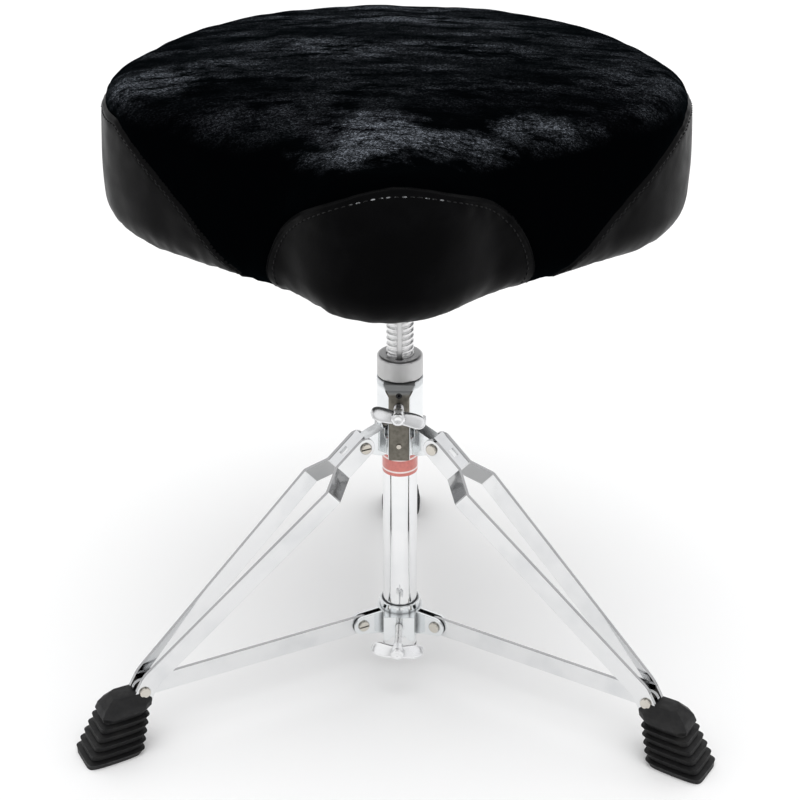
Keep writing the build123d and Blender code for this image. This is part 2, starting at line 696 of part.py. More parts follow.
def side_panel_region(side):
    """Space of one vinyl side panel: below the seam, on one side of the middle."""
    wide = SIDE_X + REAR_X
    base = SEAT_BOTTOM - 5
    seam = [(x, SEAT_BOTTOM + rise) for x, rise in SIDE_SEAM]
    curve = ThreePointArc(*seam)
    far = (wide, seam[-1][1])
    rest = Polyline(seam[-1], far, (wide, base), (seam[0][0], base), seam[0])
    front = plate_xz(make_face([*curve.edges(), *rest.edges()]), -wide, SIDE_SEAM_Y)
    rear = block(0, wide, SIDE_SEAM_Y, wide, base, seam[-1][1])
    region = front + rear
    return Pos(SEAT_ASIDE, 0, 0) * (region if side > 0 else mirror(region, Plane.YZ))


def nose_region():
    """Space of the nose patch: an arch seen from the front."""
    return plate_xz(Pos(0, SEAT_BOTTOM + NOSE_RISE) * Circle(NOSE_R), SEAT_NOSE_Y, 0)


def build_seat_shell():
    """The seat's inside body and the sewn panels of its cover."""
    inside = seat_body(COVER_T)
    cover = seat_body(0.0) - inside
    cover -= outline_prism(BOTTOM_ROUND + HEM_W, SEAT_BOTTOM - 1, SEAT_BOTTOM + COVER_T)
    nose, left, right = nose_region(), side_panel_region(-1), side_panel_region(1)
    panels = {
        "seat_cover_nose": cover & nose,
        "seat_cover_side_left": cover & left - nose,
        "seat_cover_side_right": cover & right - nose,
        "seat_cover_top": cover - nose - left - right,
    }
    return inside, panels


def screw_places():
    """Places of the four seat screws."""
    return [(sx * SCREW_X / 2, sy * SCREW_Y / 2) for sx in (-1, 1) for sy in (-1, 1)]


def build_board_and_pad(inside):
    """Plywood board and the foam pad on it."""
    board_top = SEAT_BOTTOM + COVER_T + BOARD_T
    wide = SIDE_X + REAR_X
    below = block(-wide, wide, -wide, wide, 0, board_top)
    board, pad = inside & below, inside - below
    for x, y in screw_places():
        board -= rod_z(TEE_OD + 2 * SEAT, 0, board_top + 1, x, y)
        board -= rod_z(TEE_FLANGE_D + 2 * SEAT, board_top - TEE_FLANGE_T, board_top + 1, x, y)
    return board, pad


def build_dust_cover():
    """Thin black sheet that closes the underside of the seat."""
    top = SEAT_BOTTOM + COVER_T
    sheet = outline_prism(BOTTOM_ROUND + HEM_W + HEM_CLEAR, top - DUST_T, top)
    for x, y in screw_places():
        sheet -= rod_z(SCREW_D + 2 * SEAT, 0, SEAT_TOP, x, y)
    return sheet


def build_mount_plate():
    """Steel plate under the seat."""
    outline = RectangleRounded(PLATE_L, PLATE_W, PLATE_CORNER)
    plate = extrude(Pos(0, 0, PLATE_BOTTOM) * outline, amount=PLATE_T)
    for x, y in screw_places():
        plate -= rod_z(SCREW_D + 2 * SEAT, 0, SEAT_TOP, x, y)
    return plate


def build_socket():
    """Split socket under the plate that grips the height screw."""
    low = PLATE_BOTTOM - SOCKET_LENGTH
    socket = rod_z(SOCKET_OD, low, PLATE_BOTTOM)
    socket += rod_z(SOCKET_FLANGE_D, PLATE_BOTTOM - SOCKET_FLANGE_T, PLATE_BOTTOM)
    socket += block(-CLAMP_W / 2, CLAMP_W / 2, 0, CLAMP_REACH, low, low + CLAMP_H)
    socket -= rod_z(ROD_D + 2 * SEAT, low - 1, PLATE_BOTTOM + 1)
    slot_top = low + CLAMP_H + CLAMP_SLOT_UP
    socket -= block(-CLAMP_SLOT / 2, CLAMP_SLOT / 2, 0, 2 * CLAMP_REACH, low - 1, slot_top)
    return socket - rod_x(CLAMP_BOLT_D + 2 * SEAT, -CLAMP_W, CLAMP_W)


def rod_x(diameter, x0, x1):
    """Round bar along X through the socket's clamp ears."""
    z = PLATE_BOTTOM - SOCKET_LENGTH + CLAMP_H / 2
    return Pos((x0 + x1) / 2, CLAMP_BOLT_OUT, z) * Rot(0, 90, 0) * Cylinder(diameter / 2, x1 - x0)


def hex_x(across, x0, x1):
    """Hexagonal bar along X through the socket's clamp ears."""
    z = PLATE_BOTTOM - SOCKET_LENGTH + CLAMP_H / 2
    sketch = Plane.YZ.offset(x0) * Pos(CLAMP_BOLT_OUT, z) * RegularPolygon(across / 2, 6, False)
    return extrude(sketch, amount=x1 - x0)


def build_clamp_bolt():
    """Hexagon bolt that closes the socket, and its nut."""
    edge = CLAMP_W / 2
    bolt = hex_x(CLAMP_HEX, -edge - CLAMP_HEAD_H, -edge)
    bolt += rod_x(CLAMP_BOLT_D, -edge, edge + CLAMP_BOLT_END)
    nut = hex_x(CLAMP_HEX, edge, edge + CLAMP_NUT_H)
    nut -= rod_x(CLAMP_BOLT_D + 2 * SEAT, 0, edge + 2 * CLAMP_NUT_H)
    return bolt, nut


def build_seat_fasteners():
    """Screws that hold the plate, and the tee nuts sunk in the board."""
    board_top = SEAT_BOTTOM + COVER_T + BOARD_T
    screws, tees = [], []
    for x, y in screw_places():
        hexagon = Pos(x, y, PLATE_BOTTOM - SCREW_HEAD_H) * RegularPolygon(SCREW_HEAD_D / 2, 6)
        head = extrude(hexagon, amount=SCREW_HEAD_H)
        screws.append(head + rod_z(SCREW_D, PLATE_BOTTOM, board_top - SCREW_SHORT, x, y))
        tee = rod_z(TEE_OD, SEAT_BOTTOM + COVER_T, board_top, x, y)
        tee += rod_z(TEE_FLANGE_D, board_top - TEE_FLANGE_T, board_top, x, y)
        tees.append(tee - rod_z(SCREW_D + 2 * SEAT, 0, board_top + 1, x, y))
    return grouped(screws), grouped(tees)


# ---------------------------------------------------------------- assembly
def post_nodes():
    """Pieces fixed to the post."""
    screws, nuts = pivot_set(TOP_HALF, PIVOT_R, PIVOT_Z)
    return {
        "post_tube": build_post(),
        "post_end_cap": build_end_cap(),
        "post_band": build_band(),
        "top_casting": build_casting(),
        "casting_rivets": build_casting_rivets(),
        "casting_set_screw": build_set_screw(),
        "height_nut": build_nut(),
        "leg_pivot_screws": screws,
        "leg_pivot_nuts": nuts,
    }


def leg_nodes():
    """Pieces of the three legs and their braces."""
    straps = {"near": build_strap(1), "far": build_strap(-1)}
    parts = {
        "leg_{}_bridge": build_bridge(),
        "leg_{}_joint_rivets": build_joint_rivets(),
        "leg_{}_rubber_foot": build_foot(),
        "brace_{}": build_brace(),
        "brace_{}_bushes": build_brace_bushes(),
        **{"leg_{}_strap_" + name: strap for name, strap in straps.items()},
    }
    return {
        name.format(leg): turned(shape, turn)
        for leg, turn in LEG_TURNS.items()
        for name, shape in parts.items()
    }


def hub_nodes():
    """Pieces of the sliding hub and the two locking screws."""
    screws, nuts = pivot_set(EAR_HALF, HUB_PIVOT_R, HUB_PIVOT_Z)
    rod_face = -ROD_D / 2 - TIP_GAP
    post_face = -POST_OD / 2 - TIP_GAP
    return {
        "hub_liner": build_liner(),
        "hub_sleeve": build_sleeve(),
        "hub_yoke": build_yoke(),
        "brace_pivot_screws": screws,
        "brace_pivot_nuts": nuts,
        "top_wing_screw": wing_screw(TOP_SCREW_D, rod_face, TOP_WING_Y, TOP_SCREW_Z, TOP_WING_BOW),
        "hub_wing_screw": wing_screw(LOW_SCREW_D, post_face, LOW_WING_Y, HUB_PIVOT_Z, LOW_WING_BOW),
    }


def seat_nodes():
    """Pieces of the seat, turned as they stand on the height screw."""
    inside, nodes = build_seat_shell()
    nodes["seat_board"], nodes["seat_pad"] = build_board_and_pad(inside)
    nodes["seat_dust_cover"] = build_dust_cover()
    nodes["seat_mount_plate"] = build_mount_plate()
    nodes["seat_socket"] = build_socket()
    nodes["socket_clamp_bolt"], nodes["socket_clamp_nut"] = build_clamp_bolt()
    nodes["seat_screws"], nodes["seat_tee_nuts"] = build_seat_fasteners()
    return {name: turned(shape, SEAT_TURN) for name, shape in nodes.items()}


def main():
    """Build every node and write one STEP file for each."""
    os.makedirs("parts", exist_ok=True)
    nodes = {**post_nodes(), **leg_nodes(), **hub_nodes()}
    nodes["height_rod"] = build_rod()
    nodes["rod_guide_plug"] = build_plug()
    nodes.update(seat_nodes())
    for name, shape in nodes.items():
        export_step(shape, f"parts/{name}.step")
    turn, rise = brace_fold()
    print("nodes", len(nodes), "brace turn", round(degrees(turn), 4), "hub rise", round(rise, 4))


main()
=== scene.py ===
"""Folding drum throne: the visual model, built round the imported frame.

Every shape is a surface worked out with numpy in millimetres and written to its mesh in metres.
The padded seat is one parametric form, cut into its sewn panels along the seam lines.
"""

from __future__ import annotations

import json
import logging
import math
from dataclasses import dataclass, field
from enum import Enum
from typing import Any, Sequence

import bpy
import numpy as np
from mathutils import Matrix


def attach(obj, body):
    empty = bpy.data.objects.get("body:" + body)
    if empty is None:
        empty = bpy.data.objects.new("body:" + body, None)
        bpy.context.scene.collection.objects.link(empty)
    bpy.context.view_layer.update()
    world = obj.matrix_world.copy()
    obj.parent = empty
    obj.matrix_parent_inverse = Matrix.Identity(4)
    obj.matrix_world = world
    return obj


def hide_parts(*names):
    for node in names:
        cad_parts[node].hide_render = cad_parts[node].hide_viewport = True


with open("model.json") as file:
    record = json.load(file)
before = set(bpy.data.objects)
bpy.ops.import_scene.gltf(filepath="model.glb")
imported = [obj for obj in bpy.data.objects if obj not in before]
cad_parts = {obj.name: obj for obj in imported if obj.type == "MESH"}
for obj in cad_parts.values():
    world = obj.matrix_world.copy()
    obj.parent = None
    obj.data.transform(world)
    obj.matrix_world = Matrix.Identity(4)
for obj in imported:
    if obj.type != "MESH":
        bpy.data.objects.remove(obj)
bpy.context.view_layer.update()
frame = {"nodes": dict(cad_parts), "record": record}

MM = 0.001
LOG = logging.getLogger("drum_throne")
Array = np.ndarray


class Body(Enum):
    """Rigid bodies of the frame that new pieces ride on."""

    SEAT = "seat"
    TOP_LOCK = "top_lock"
    HUB_LOCK = "hub_lock"
    LEG_LEFT = "leg_left"
    LEG_RIGHT = "leg_right"
    LEG_REAR = "leg_rear"


class Slot(Enum):
    """Material slots of the record."""

    TUBE = "chrome_tube"
    CASTING = "chrome_casting"
    STRAP = "chrome_strap"
    SMALL = "chrome_small"
    ZINC = "zinc_steel"
    DARK = "dark_steel"
    BAND = "red_band"
    NYLON = "nylon"
    RUBBER = "foot_rubber"
    VELOUR = "velour"
    VINYL = "vinyl"
    FOAM = "foam"
    PLYWOOD = "plywood"
    DUST = "dust_cloth"


# ------------------------------------------------------------------ arrays and surfaces
def smooth_rise(low: float, high: float, value: Array) -> Array:
    """Cubic step: 0 below low, 1 above high, 3t^2 - 2t^3 between.

    Args:
        low: value where the rise starts.
        high: value where the rise ends.
        value: values to grade.

    Returns:
        Weights from 0 to 1.
    """
    t = np.clip((value - low) / (high - low), 0.0, 1.0)
    return t * t * (3.0 - 2.0 * t)


def ripple(points: Array, wavelength: float, seed: int, waves: int = 12) -> Array:
    """Smooth random field: a sum of cosine plane waves in random directions, about -1 to 1.

    Args:
        points: places, with the coordinates on the last axis.
        wavelength: middle wavelength of the waves.
        seed: seed of the random directions and phases.
        waves: how many waves are summed.

    Returns:
        One value for each place.
    """
    draw = np.random.default_rng(seed)
    heading = draw.normal(size=(waves, points.shape[-1]))
    heading /= np.linalg.norm(heading, axis=1, keepdims=True)
    rate = 2.0 * np.pi / (wavelength * draw.uniform(0.7, 1.5, waves))
    phase = draw.uniform(0.0, 2.0 * np.pi, waves)
    angle = points @ (heading * rate[:, None]).T + phase
    return np.cos(angle).sum(axis=-1) / math.sqrt(2.0 * waves)


def unit(vectors: Array) -> Array:
    """Vectors divided by their own lengths."""
    return vectors / np.maximum(np.linalg.norm(vectors, axis=-1, keepdims=True), 1e-9)


def turned(points: Array, degrees: float) -> Array:
    """Points turned about the vertical axis: x' = x cos a - y sin a, y' = x sin a + y cos a."""
    c, s = math.cos(math.radians(degrees)), math.sin(math.radians(degrees))
    return points @ np.array([[c, s, 0.0], [-s, c, 0.0], [0.0, 0.0, 1.0]])


@dataclass
class Surface:
    """Points in millimetres and the faces between them."""

    points: Array
    faces: list[tuple[int, ...]]

    def outward(self) -> "Surface":
        """Turns the faces so that the flux of position through them is positive.

        Returns:
            The surface itself, with its faces pointing out of a closed shape.
        """
        centre = self.points.mean(axis=0)
        flux = 0.0
        for size in (3, 4):
            group = np.array([f for f in self.faces if len(f) == size])
            if len(group):
                p = self.points[group] - centre
                flux += np.einsum("ij,ij->", p[:, 0], np.cross(p[:, 1], p[:, 2]))
                if size == 4:
                    flux += np.einsum("ij,ij->", p[:, 0], np.cross(p[:, 2], p[:, 3]))
        if flux < 0:
            self.faces = [face[::-1] for face in self.faces]
        return self

    def turned(self, degrees: float) -> "Surface":
        """Copy of the surface turned about the vertical axis."""
        return Surface(turned(self.points, degrees), self.faces)


def joined(parts: Sequence[Surface]) -> Surface:
    """One surface holding several, with their faces renumbered."""
    points: list[Array] = []
    faces: list[tuple[int, ...]] = []
    start = 0
    for part in parts:
        points.append(part.points)
        faces += [tuple(i + start for i in face) for face in part.faces]
        start += len(part.points)
    return Surface(np.concatenate(points), faces)


def grid(
    points: Array,
    wrap_rows: bool = False,
    wrap_columns: bool = True,
    cap_rows: bool = True,
    cap_columns: bool = False,
) -> Surface:
    """Quads between the neighbours of a grid, with fans over its open ends.

    Args:
        points: places of shape (rows, columns, 3).
        wrap_rows: whether the last row meets the first.
        wrap_columns: whether the last column meets the first.
        cap_rows: whether the first and last rows are closed by a fan to their middle.
        cap_columns: whether the first and last columns are closed in the same way.

    Returns:
        A closed surface with its faces outwards.
    """
    rows, columns = points.shape[:2]
    index = np.arange(rows * columns).reshape(rows, columns)
    r = np.arange(rows if wrap_rows else rows - 1)
    c = np.arange(columns if wrap_columns else columns - 1)
    r0, c0 = np.meshgrid(r, c, indexing="ij")
    r1, c1 = (r0 + 1) % rows, (c0 + 1) % columns
    quads = np.stack([index[r0, c0], index[r0, c1], index[r1, c1], index[r1, c0]], axis=-1)
    faces = [tuple(q) for q in quads.reshape(-1, 4).tolist()]
    flat = [points.reshape(-1, 3)]
    loops: list[tuple[Array, bool]] = []
    if cap_rows:
        loops += [(index[0], True), (index[-1], False)]
    if cap_columns:
        loops += [(index[:, 0], False), (index[:, -1], True)]
    count = rows * columns
    for loop, reverse in loops:
        flat.append(flat[0][loop].mean(axis=0, keepdims=True))
        after = np.roll(loop, -1)
        first, second = (after, loop) if reverse else (loop, after)
        faces += [(int(a), int(b), count) for a, b in zip(first, second)]
        count += 1
    return Surface(np.concatenate(flat), faces).outward()


def lathe(profile: Sequence[tuple[float, float]], segments: int = 64) -> Array:
    """Grid of a profile turned about Z: (r cos a, r sin a, z) for each (r, z) of the profile."""
    r, z = np.array(profile, dtype=float).T
    angle = np.linspace(0.0, 2.0 * np.pi, segments, endpoint=False)
    x, y = np.outer(r, np.cos(angle)), np.outer(r, np.sin(angle))
    return np.stack([x, y, np.outer(z, np.ones_like(angle))], axis=-1)


def carried(path: Array, across: Array, over: Array, section: Array) -> Array:
    """Grid of a section carried along a path: p + across * s0 + over * s1.

    Args:
        path: places along the path, (rows, 3).
        across: unit vectors of the section's first axis, (rows, 3).
        over: unit vectors of its second axis, (rows, 3).
        section: section points, (columns, 2) or (rows, columns, 2).

    Returns:
        Grid of shape (rows, columns, 3).
    """
    section = np.broadcast_to(section, (len(path), *section.shape[-2:]))
    side = across[:, None] * section[..., :1] + over[:, None] * section[..., 1:]
    return path[:, None] + side


def ring(count: int) -> Array:
    """Unit circle of count points, (count, 2)."""
    angle = np.linspace(0.0, 2.0 * np.pi, count, endpoint=False)
    return np.stack([np.cos(angle), np.sin(angle)], axis=-1)


def spline_weights(place: Array) -> tuple[Array, Array]:
    """Cubic B-spline: whole part of each place, and its weights on four neighbours."""
    base = np.floor(place).astype(int)
    t = place - base
    weights = np.stack(
        [(1 - t) ** 3, 3 * t**3 - 6 * t**2 + 4, -3 * t**3 + 3 * t**2 + 3 * t + 1, t**3], -1
    )
    return base, weights / 6.0


# ------------------------------------------------------------------ shaders
class Shader:
    """Node tree of one material, with short methods for the nodes that the finishes use."""

    def __init__(self, name: str) -> None:
        """Starts a material with a principled shader and object coordinates."""
        self.material = bpy.data.materials.new(name)
        self.material.use_nodes = True
        self.tree = self.material.node_tree
        self.tree.nodes.clear()
        output = self.tree.nodes.new("ShaderNodeOutputMaterial")
        self.surface = self.tree.nodes.new("ShaderNodeBsdfPrincipled")
        self.tree.links.new(self.surface.outputs[0], output.inputs[0])
        self.place = self.tree.nodes.new("ShaderNodeTexCoord").outputs["Object"]

    def node(self, kind: str, inputs: dict[Any, Any], **options: Any) -> Any:
        """Adds a node.

        Args:
            kind: Blender's node type, without its ShaderNode prefix.
            inputs: socket name or index to a value or an output socket.
            options: settings of the node itself.

        Returns:
            The node's outputs.
        """
        made = self.tree.nodes.new("ShaderNode" + kind)
        for name, value in options.items():
            setattr(made, name, value)
        for key, value in inputs.items():
            if isinstance(value, bpy.types.NodeSocket):
                self.tree.links.new(value, made.inputs[key])
            else:
                made.inputs[key].default_value = value
        return made.outputs

    def fix(self, **values: Any) -> None:
        """Sets constant values on the principled shader's own sockets."""
        for name, value in values.items():
            self.surface.inputs[name.replace("_", " ")].default_value = value

    def link(self, socket: str, value: Any) -> None:
        """Links an output to one of the principled shader's sockets."""
        self.tree.links.new(value, self.surface.inputs[socket])

    def noise(
        self,
        scale: float,
        detail: float = 4.0,
        rough: float = 0.55,
        place: Any = None,
        output: int = 0,
    ) -> Any:
        """Fractal noise at so many cells per metre.

        Args:
            scale: cells per metre, or 1 where the place is already stretched.
            detail: octaves.
            rough: share of each octave in the next.
            place: stretched coordinates, if not the object's own.
            output: 0 for the value, 1 for three values as a colour.

        Returns:
            The chosen output.
        """
        inputs = {"Vector": place or self.place, "Scale": scale, "Detail": detail}
        return self.node("TexNoise", {**inputs, "Roughness": rough})[output]

    def stretched(self, x: float, y: float, z: float, turn: float = 0.0) -> Any:
        """Object coordinates scaled by x, y, z after a turn about Z in degrees."""
        turned_by = (0.0, 0.0, math.radians(turn))
        inputs = {"Vector": self.place, "Scale": (x, y, z), "Rotation": turned_by}
        return self.node("Mapping", inputs)[0]

    def ranged(self, value: Any, low: float, high: float, to: tuple[float, float] = (0, 1)) -> Any:
        """Value mapped from low..high to the two ends of to, smoothly and clamped."""
        inputs = {0: value, 1: low, 2: high, 3: float(to[0]), 4: float(to[1])}
        return self.node("MapRange", inputs, interpolation_type="SMOOTHSTEP")[0]

    def maths(self, operation: str, a: Any, b: Any) -> Any:
        """One arithmetic node."""
        return self.node("Math", {0: a, 1: b}, operation=operation)[0]

    def absolute(self, value: Any) -> Any:
        """Size of a value without its sign."""
        return self.node("Math", {0: value}, operation="ABSOLUTE")[0]

    def product(self, *values: Any) -> Any:
        """Product of two or more values."""
        total = values[0]
        for value in values[1:]:
            total = self.maths("MULTIPLY", total, value)
        return total

    def vector(self, operation: str, a: Any, b: Any) -> Any:
        """One vector arithmetic node."""
        return self.node("VectorMath", {0: a, 1: b}, operation=operation)[0]

    def blend(self, share: Any, a: Any, b: Any) -> Any:
        """Colour a at share 0, b at share 1."""
        inputs = {0: share, 6: as_colour(a), 7: as_colour(b)}
        return self.node("Mix", inputs, data_type="RGBA")[2]

    def axis(self, name: str) -> Any:
        """One object coordinate, X, Y or Z."""
        return self.node("SeparateXYZ", {0: self.place})[name]

    def bump(self, height: Any, depth_mm: float, strength: float = 1.0, normal: Any = None) -> Any:
        """Bump from a height field whose full range is depth_mm deep."""
        inputs = {"Height": height, "Distance": depth_mm * MM, "Strength": strength}
        if normal is not None:
            inputs["Normal"] = normal
        return self.node("Bump", inputs)[0]


def as_colour(value: Any) -> Any:
    """RGB triple made RGBA; a socket is left alone."""
    return (*value, 1.0) if isinstance(value, tuple) and len(value) == 3 else value


Colour = tuple[float, float, float]


@dataclass(frozen=True)
class Spine:
    """Where painted dark reflection lies on the casting: the front of its spine, and the flare at
    its head.
    """

    front_mm: float = -22.6
    soft_mm: float = 0.8
    # painted dark reflection: the first two colours darken the spine's front, and the flare colour
    # paints a grey reflection on the flare
    dark_reflection: Colour = (0.07, 0.066, 0.055)
    worn: Colour = (0.30, 0.28, 0.24)
    dull: float = 0.30
    flare_mm: tuple[float, float] = (272.0, 276.0)
    flare_slope: float = 0.6
    flare_edge_mm: tuple[float, float] = (-156.2, -155.6)
    flare_reflection: Colour = (0.50, 0.51, 0.51)
    flare_dull: float = 0.6

    def paint_reflection(self, s: Shader, colour: Any, rough: Any) -> tuple[Any, Any]:
        """Paints dark reflection into a metal's colour on the spine and grey reflection on its
        flare, and dulls both.

        The spine is all that lies in front of front_mm. The flare is the trapezoid above it where
        |x| - slope * z is under its edge.

        Args:
            s: the material's shader.
            colour: its colour so far.
            rough: its roughness so far.

        Returns:
            The new colour and roughness.
        """
        front = s.ranged(s.axis("Y"), self.front_mm * MM, (self.front_mm + self.soft_mm) * MM)
        # painted dark reflection on the spine's front, mottled by noise
        dark_reflection = s.blend(s.noise(260.0, 3.0), self.dark_reflection, self.worn)
        colour = s.blend(front, dark_reflection, colour)
        fall = s.maths("MULTIPLY", s.axis("Z"), self.flare_slope)
        slant = s.maths("SUBTRACT", s.absolute(s.axis("X")), fall)
        low, high = (edge * MM for edge in self.flare_edge_mm)
        head = s.ranged(s.axis("Z"), self.flare_mm[0] * MM, self.flare_mm[1] * MM)
        flare = s.product(head, s.ranged(slant, low, high, (1.0, 0.0)))
        # painted grey reflection on the flare
        colour = s.blend(flare, colour, self.flare_reflection)
        rough = s.maths("ADD", rough, s.ranged(front, 0.0, 1.0, (self.dull, 0.0)))
        return colour, s.maths("ADD", rough, s.maths("MULTIPLY", head, self.flare_dull))


@dataclass(frozen=True)
class Metal:
    """Plated or bare metal: a mirror coat with fine waviness, haze, and painted shade in hollows.
    """

    name: str
    colour: Colour
    tint: Colour
    rough: float = 0.05
    haze: float = 0.10
    wave_mm: float = 0.02
    edge_mm: float = 0.35
    cavity_mm: float = 6.0
    # colour of the painted shade in hollows
    hollow_shade: Colour = (0.02, 0.02, 0.022)
    # share of the colour left under the painted dark reflection on strap edges
    edge_shade: float = 1.0
    spine: Spine | None = None

    def build(self) -> bpy.types.Material:
        """Colour drifts to the tint in soft patches; painted shade darkens it in hollows and
        painted dark reflection on strap edges.
        """
        s = Shader(self.name)
        s.fix(Metallic=1.0)
        patches = s.ranged(s.noise(22.0, 3.0), 0.42, 0.72)
        colour = s.blend(patches, self.colour, self.tint)
        smears = s.ranged(s.noise(1.0, 5.0, 0.6, s.stretched(60.0, 60.0, 18.0)), 0.45, 0.75)
        rough = s.ranged(smears, 0.0, 1.0, (self.rough, self.rough + self.haze))
        if self.spine is not None:
            colour, rough = self.spine.paint_reflection(s, colour, rough)
        # painted shade in hollows and painted dark reflection on strap edges pull the colour
        # towards the hollow colour
        s.link("Base Color", s.blend(self.shade(s), self.hollow_shade, colour))
        s.link("Roughness", rough)
        edge = s.node("Bevel", {"Radius": self.edge_mm * MM}, samples=6)[0]
        waves = s.bump(s.noise(90.0, 2.0), self.wave_mm, 0.35, edge)
        s.link("Normal", s.bump(s.noise(900.0, 2.0), 0.004, 0.3, waves))
        return s.material

    def shade(self, s: Shader) -> Any:
        """Share of the colour that is left under painted shade in hollows and painted dark
        reflection on strap edges.

        A face counts as a strap edge, and takes the painted dark reflection, where its normal is
        square to no leg's sideways axis: the largest of the three products |normal . axis| is under
        0.93 there, and 1 on a strap's flat face.

        Args:
            s: the material's shader.

        Returns:
            1 on open faces, less elsewhere.
        """
        # painted shade from ambient occlusion
        clear = s.node("AmbientOcclusion", {"Distance": self.cavity_mm * MM}, samples=5)["AO"]
        shade = s.ranged(clear, 0.25, 0.85, (0.30, 1.0))
        if self.edge_shade == 1.0:
            return shade
        own = s.node("TexCoord", {})["Normal"]
        flat: Any = 0.0
        for angle in LEG_ANGLES.values():
            axis = (-math.sin(math.radians(angle)), math.cos(math.radians(angle)), 0.0)
            along = s.node("VectorMath", {0: own, 1: axis}, operation="DOT_PRODUCT")["Value"]
            flat = s.maths("MAXIMUM", flat, s.absolute(along))
        return s.product(shade, s.ranged(flat, 0.89, 0.96, (self.edge_shade, 1.0)))


@dataclass(frozen=True)
class Spot:
    """One patch of painted sheen on the velour: its middle, its half sizes and its strength."""

    x: float
    y: float
    wide: float
    deep: float
    gain: float


@dataclass(frozen=True)
class Velour:
    """Crushed velour: black pile with sheen, and lighter patches of painted sheen where the pile
    lies the other way.
    """

    name: str
    dark: Colour
    # colour of the painted sheen in the patches
    light: Colour
    spots: tuple[Spot, ...]
    top_mm: float
    sheen: Colour = (0.25, 0.42, 0.50)
    rear_mm: tuple[float, float] = (-100.0, 30.0)
    middle_mm: float = -30.0
    drift_mm: tuple[float, float] = (130.0, 60.0)

    def build(self) -> bpy.types.Material:
        """Patches of painted sheen are rear streaks and soft spots, cut up by fine noise, on the
        upper face, where light falls.
        """
        s = Shader(self.name)
        s.fix(Roughness=0.9, Sheen_Weight=0.012, Sheen_Roughness=0.4, Specular_IOR_Level=0.0)
        s.surface.inputs["Sheen Tint"].default_value = as_colour(self.sheen)
        patches = s.maths("ADD", self.streaks(s), self.crushed_sheen(s))
        grain = s.noise(1700.0, 3.0, 0.7)
        torn = s.noise(1.0, 7.0, 0.72, s.stretched(30.0, 74.0, 40.0, -8.0))
        worm = s.noise(1.0, 3.0, 0.6, s.stretched(210.0, 430.0, 300.0, 4.0))
        # painted light: the patches show only on the upper face, where light falls
        level = s.ranged(s.axis("Z"), (self.top_mm - 24.0) * MM, (self.top_mm - 5.0) * MM)
        share = s.product(patches, self.cut(s, worm, torn, grain), level)
        s.link("Base Color", s.blend(share, self.dark, self.light))
        pile = s.bump(grain, 0.25, 0.8)
        s.link("Normal", s.bump(s.maths("ADD", torn, worm), 0.9, 0.45, pile))
        return s.material

    def streaks(self, s: Shader) -> Any:
        """Long streaks of painted sheen over the rear of the seat, strongest near its middle."""
        rear = s.ranged(s.axis("Y"), self.rear_mm[0] * MM, self.rear_mm[1] * MM)
        lines = s.noise(1.0, 6.0, 0.66, s.stretched(8.0, 34.0, 8.0, 5.0))
        aside = s.absolute(s.maths("SUBTRACT", s.axis("X"), self.middle_mm * MM))
        near = s.ranged(aside, 0.02, 0.20, (1.15, 0.5))
        return s.product(s.ranged(lines, 0.42, 0.70, (0.05, 0.55)), rear, near)

    def crushed_sheen(self, s: Shader) -> Any:
        """Sum of the spots of painted sheen, their edges frayed by noise that moves the place
        sideways.
        """
        drift = s.noise(26.0, 5.0, 0.65, output=1)
        drift = s.vector("SUBTRACT", drift, (0.5, 0.5, 0.5))
        drift = s.vector("MULTIPLY", drift, (self.drift_mm[0] * MM, self.drift_mm[1] * MM, 0.0))
        frayed = s.vector("ADD", s.place, drift)
        total: Any = 0.0
        for spot in self.spots:
            offset = s.vector("SUBTRACT", frayed, (spot.x * MM, spot.y * MM, 0.0))
            scale = (1.0 / (spot.wide * MM), 1.0 / (spot.deep * MM), 0.0)
            inside = s.vector("MULTIPLY", offset, scale)
            away = s.node("VectorMath", {0: inside}, operation="LENGTH")["Value"]
            total = s.maths("ADD", total, s.ranged(away, 0.15, 1.0, (spot.gain, 0.0)))
        return total

    def cut(self, s: Shader, worm: Any, torn: Any, grain: Any) -> Any:
        """Fine break-up of a patch: pale worm-like ridges, torn gaps, grain and specks.

        Args:
            s: the material's shader.
            worm: noise whose middle value marks the ridges.
            torn: coarse noise that opens gaps.
            grain: finest noise.

        Returns:
            Factor of the patch's strength.
        """
        off_ridge = s.absolute(s.maths("SUBTRACT", worm, 0.5))
        ridge = s.ranged(off_ridge, 0.004, 0.05, (1.0, 0.0))
        body = s.maths("ADD", s.maths("MULTIPLY", ridge, 0.8), 0.26)
        specks = s.noise(1.0, 2.0, 0.7, s.stretched(520.0, 760.0, 700.0))
        return s.product(
            body,
            s.ranged(torn, 0.38, 0.62),
            s.ranged(grain, 0.34, 0.66, (0.15, 1.5)),
            s.ranged(specks, 0.42, 0.60, (0.35, 1.85)),
        )


@dataclass(frozen=True)
class Vinyl:
    """Soft black vinyl: pebble grain, a satin coat and rubbed, slightly greyer patches."""

    name: str
    dark: Colour
    rubbed: Colour
    gloss: float
    rough: float = 0.34

    def build(self) -> bpy.types.Material:
        """Grain is a cell pattern joined to noise; patches of noise vary colour and gloss."""
        s = Shader(self.name)
        s.fix(Specular_IOR_Level=self.gloss)
        worn = s.ranged(s.noise(14.0, 5.0, 0.6), 0.45, 0.75)
        s.link("Base Color", s.blend(worn, self.dark, self.rubbed))
        s.link("Roughness", s.ranged(s.noise(30.0, 4.0), 0.3, 0.8, (self.rough, self.rough + 0.16)))
        cells = s.node("TexVoronoi", {"Vector": s.place, "Scale": 850.0}, feature="SMOOTH_F1")[0]
        pebble = s.bump(s.maths("ADD", cells, s.noise(1700.0, 3.0)), 0.10, 0.35)
        s.link("Normal", s.bump(s.noise(120.0, 4.0), 0.35, 0.25, pebble))
        return s.material


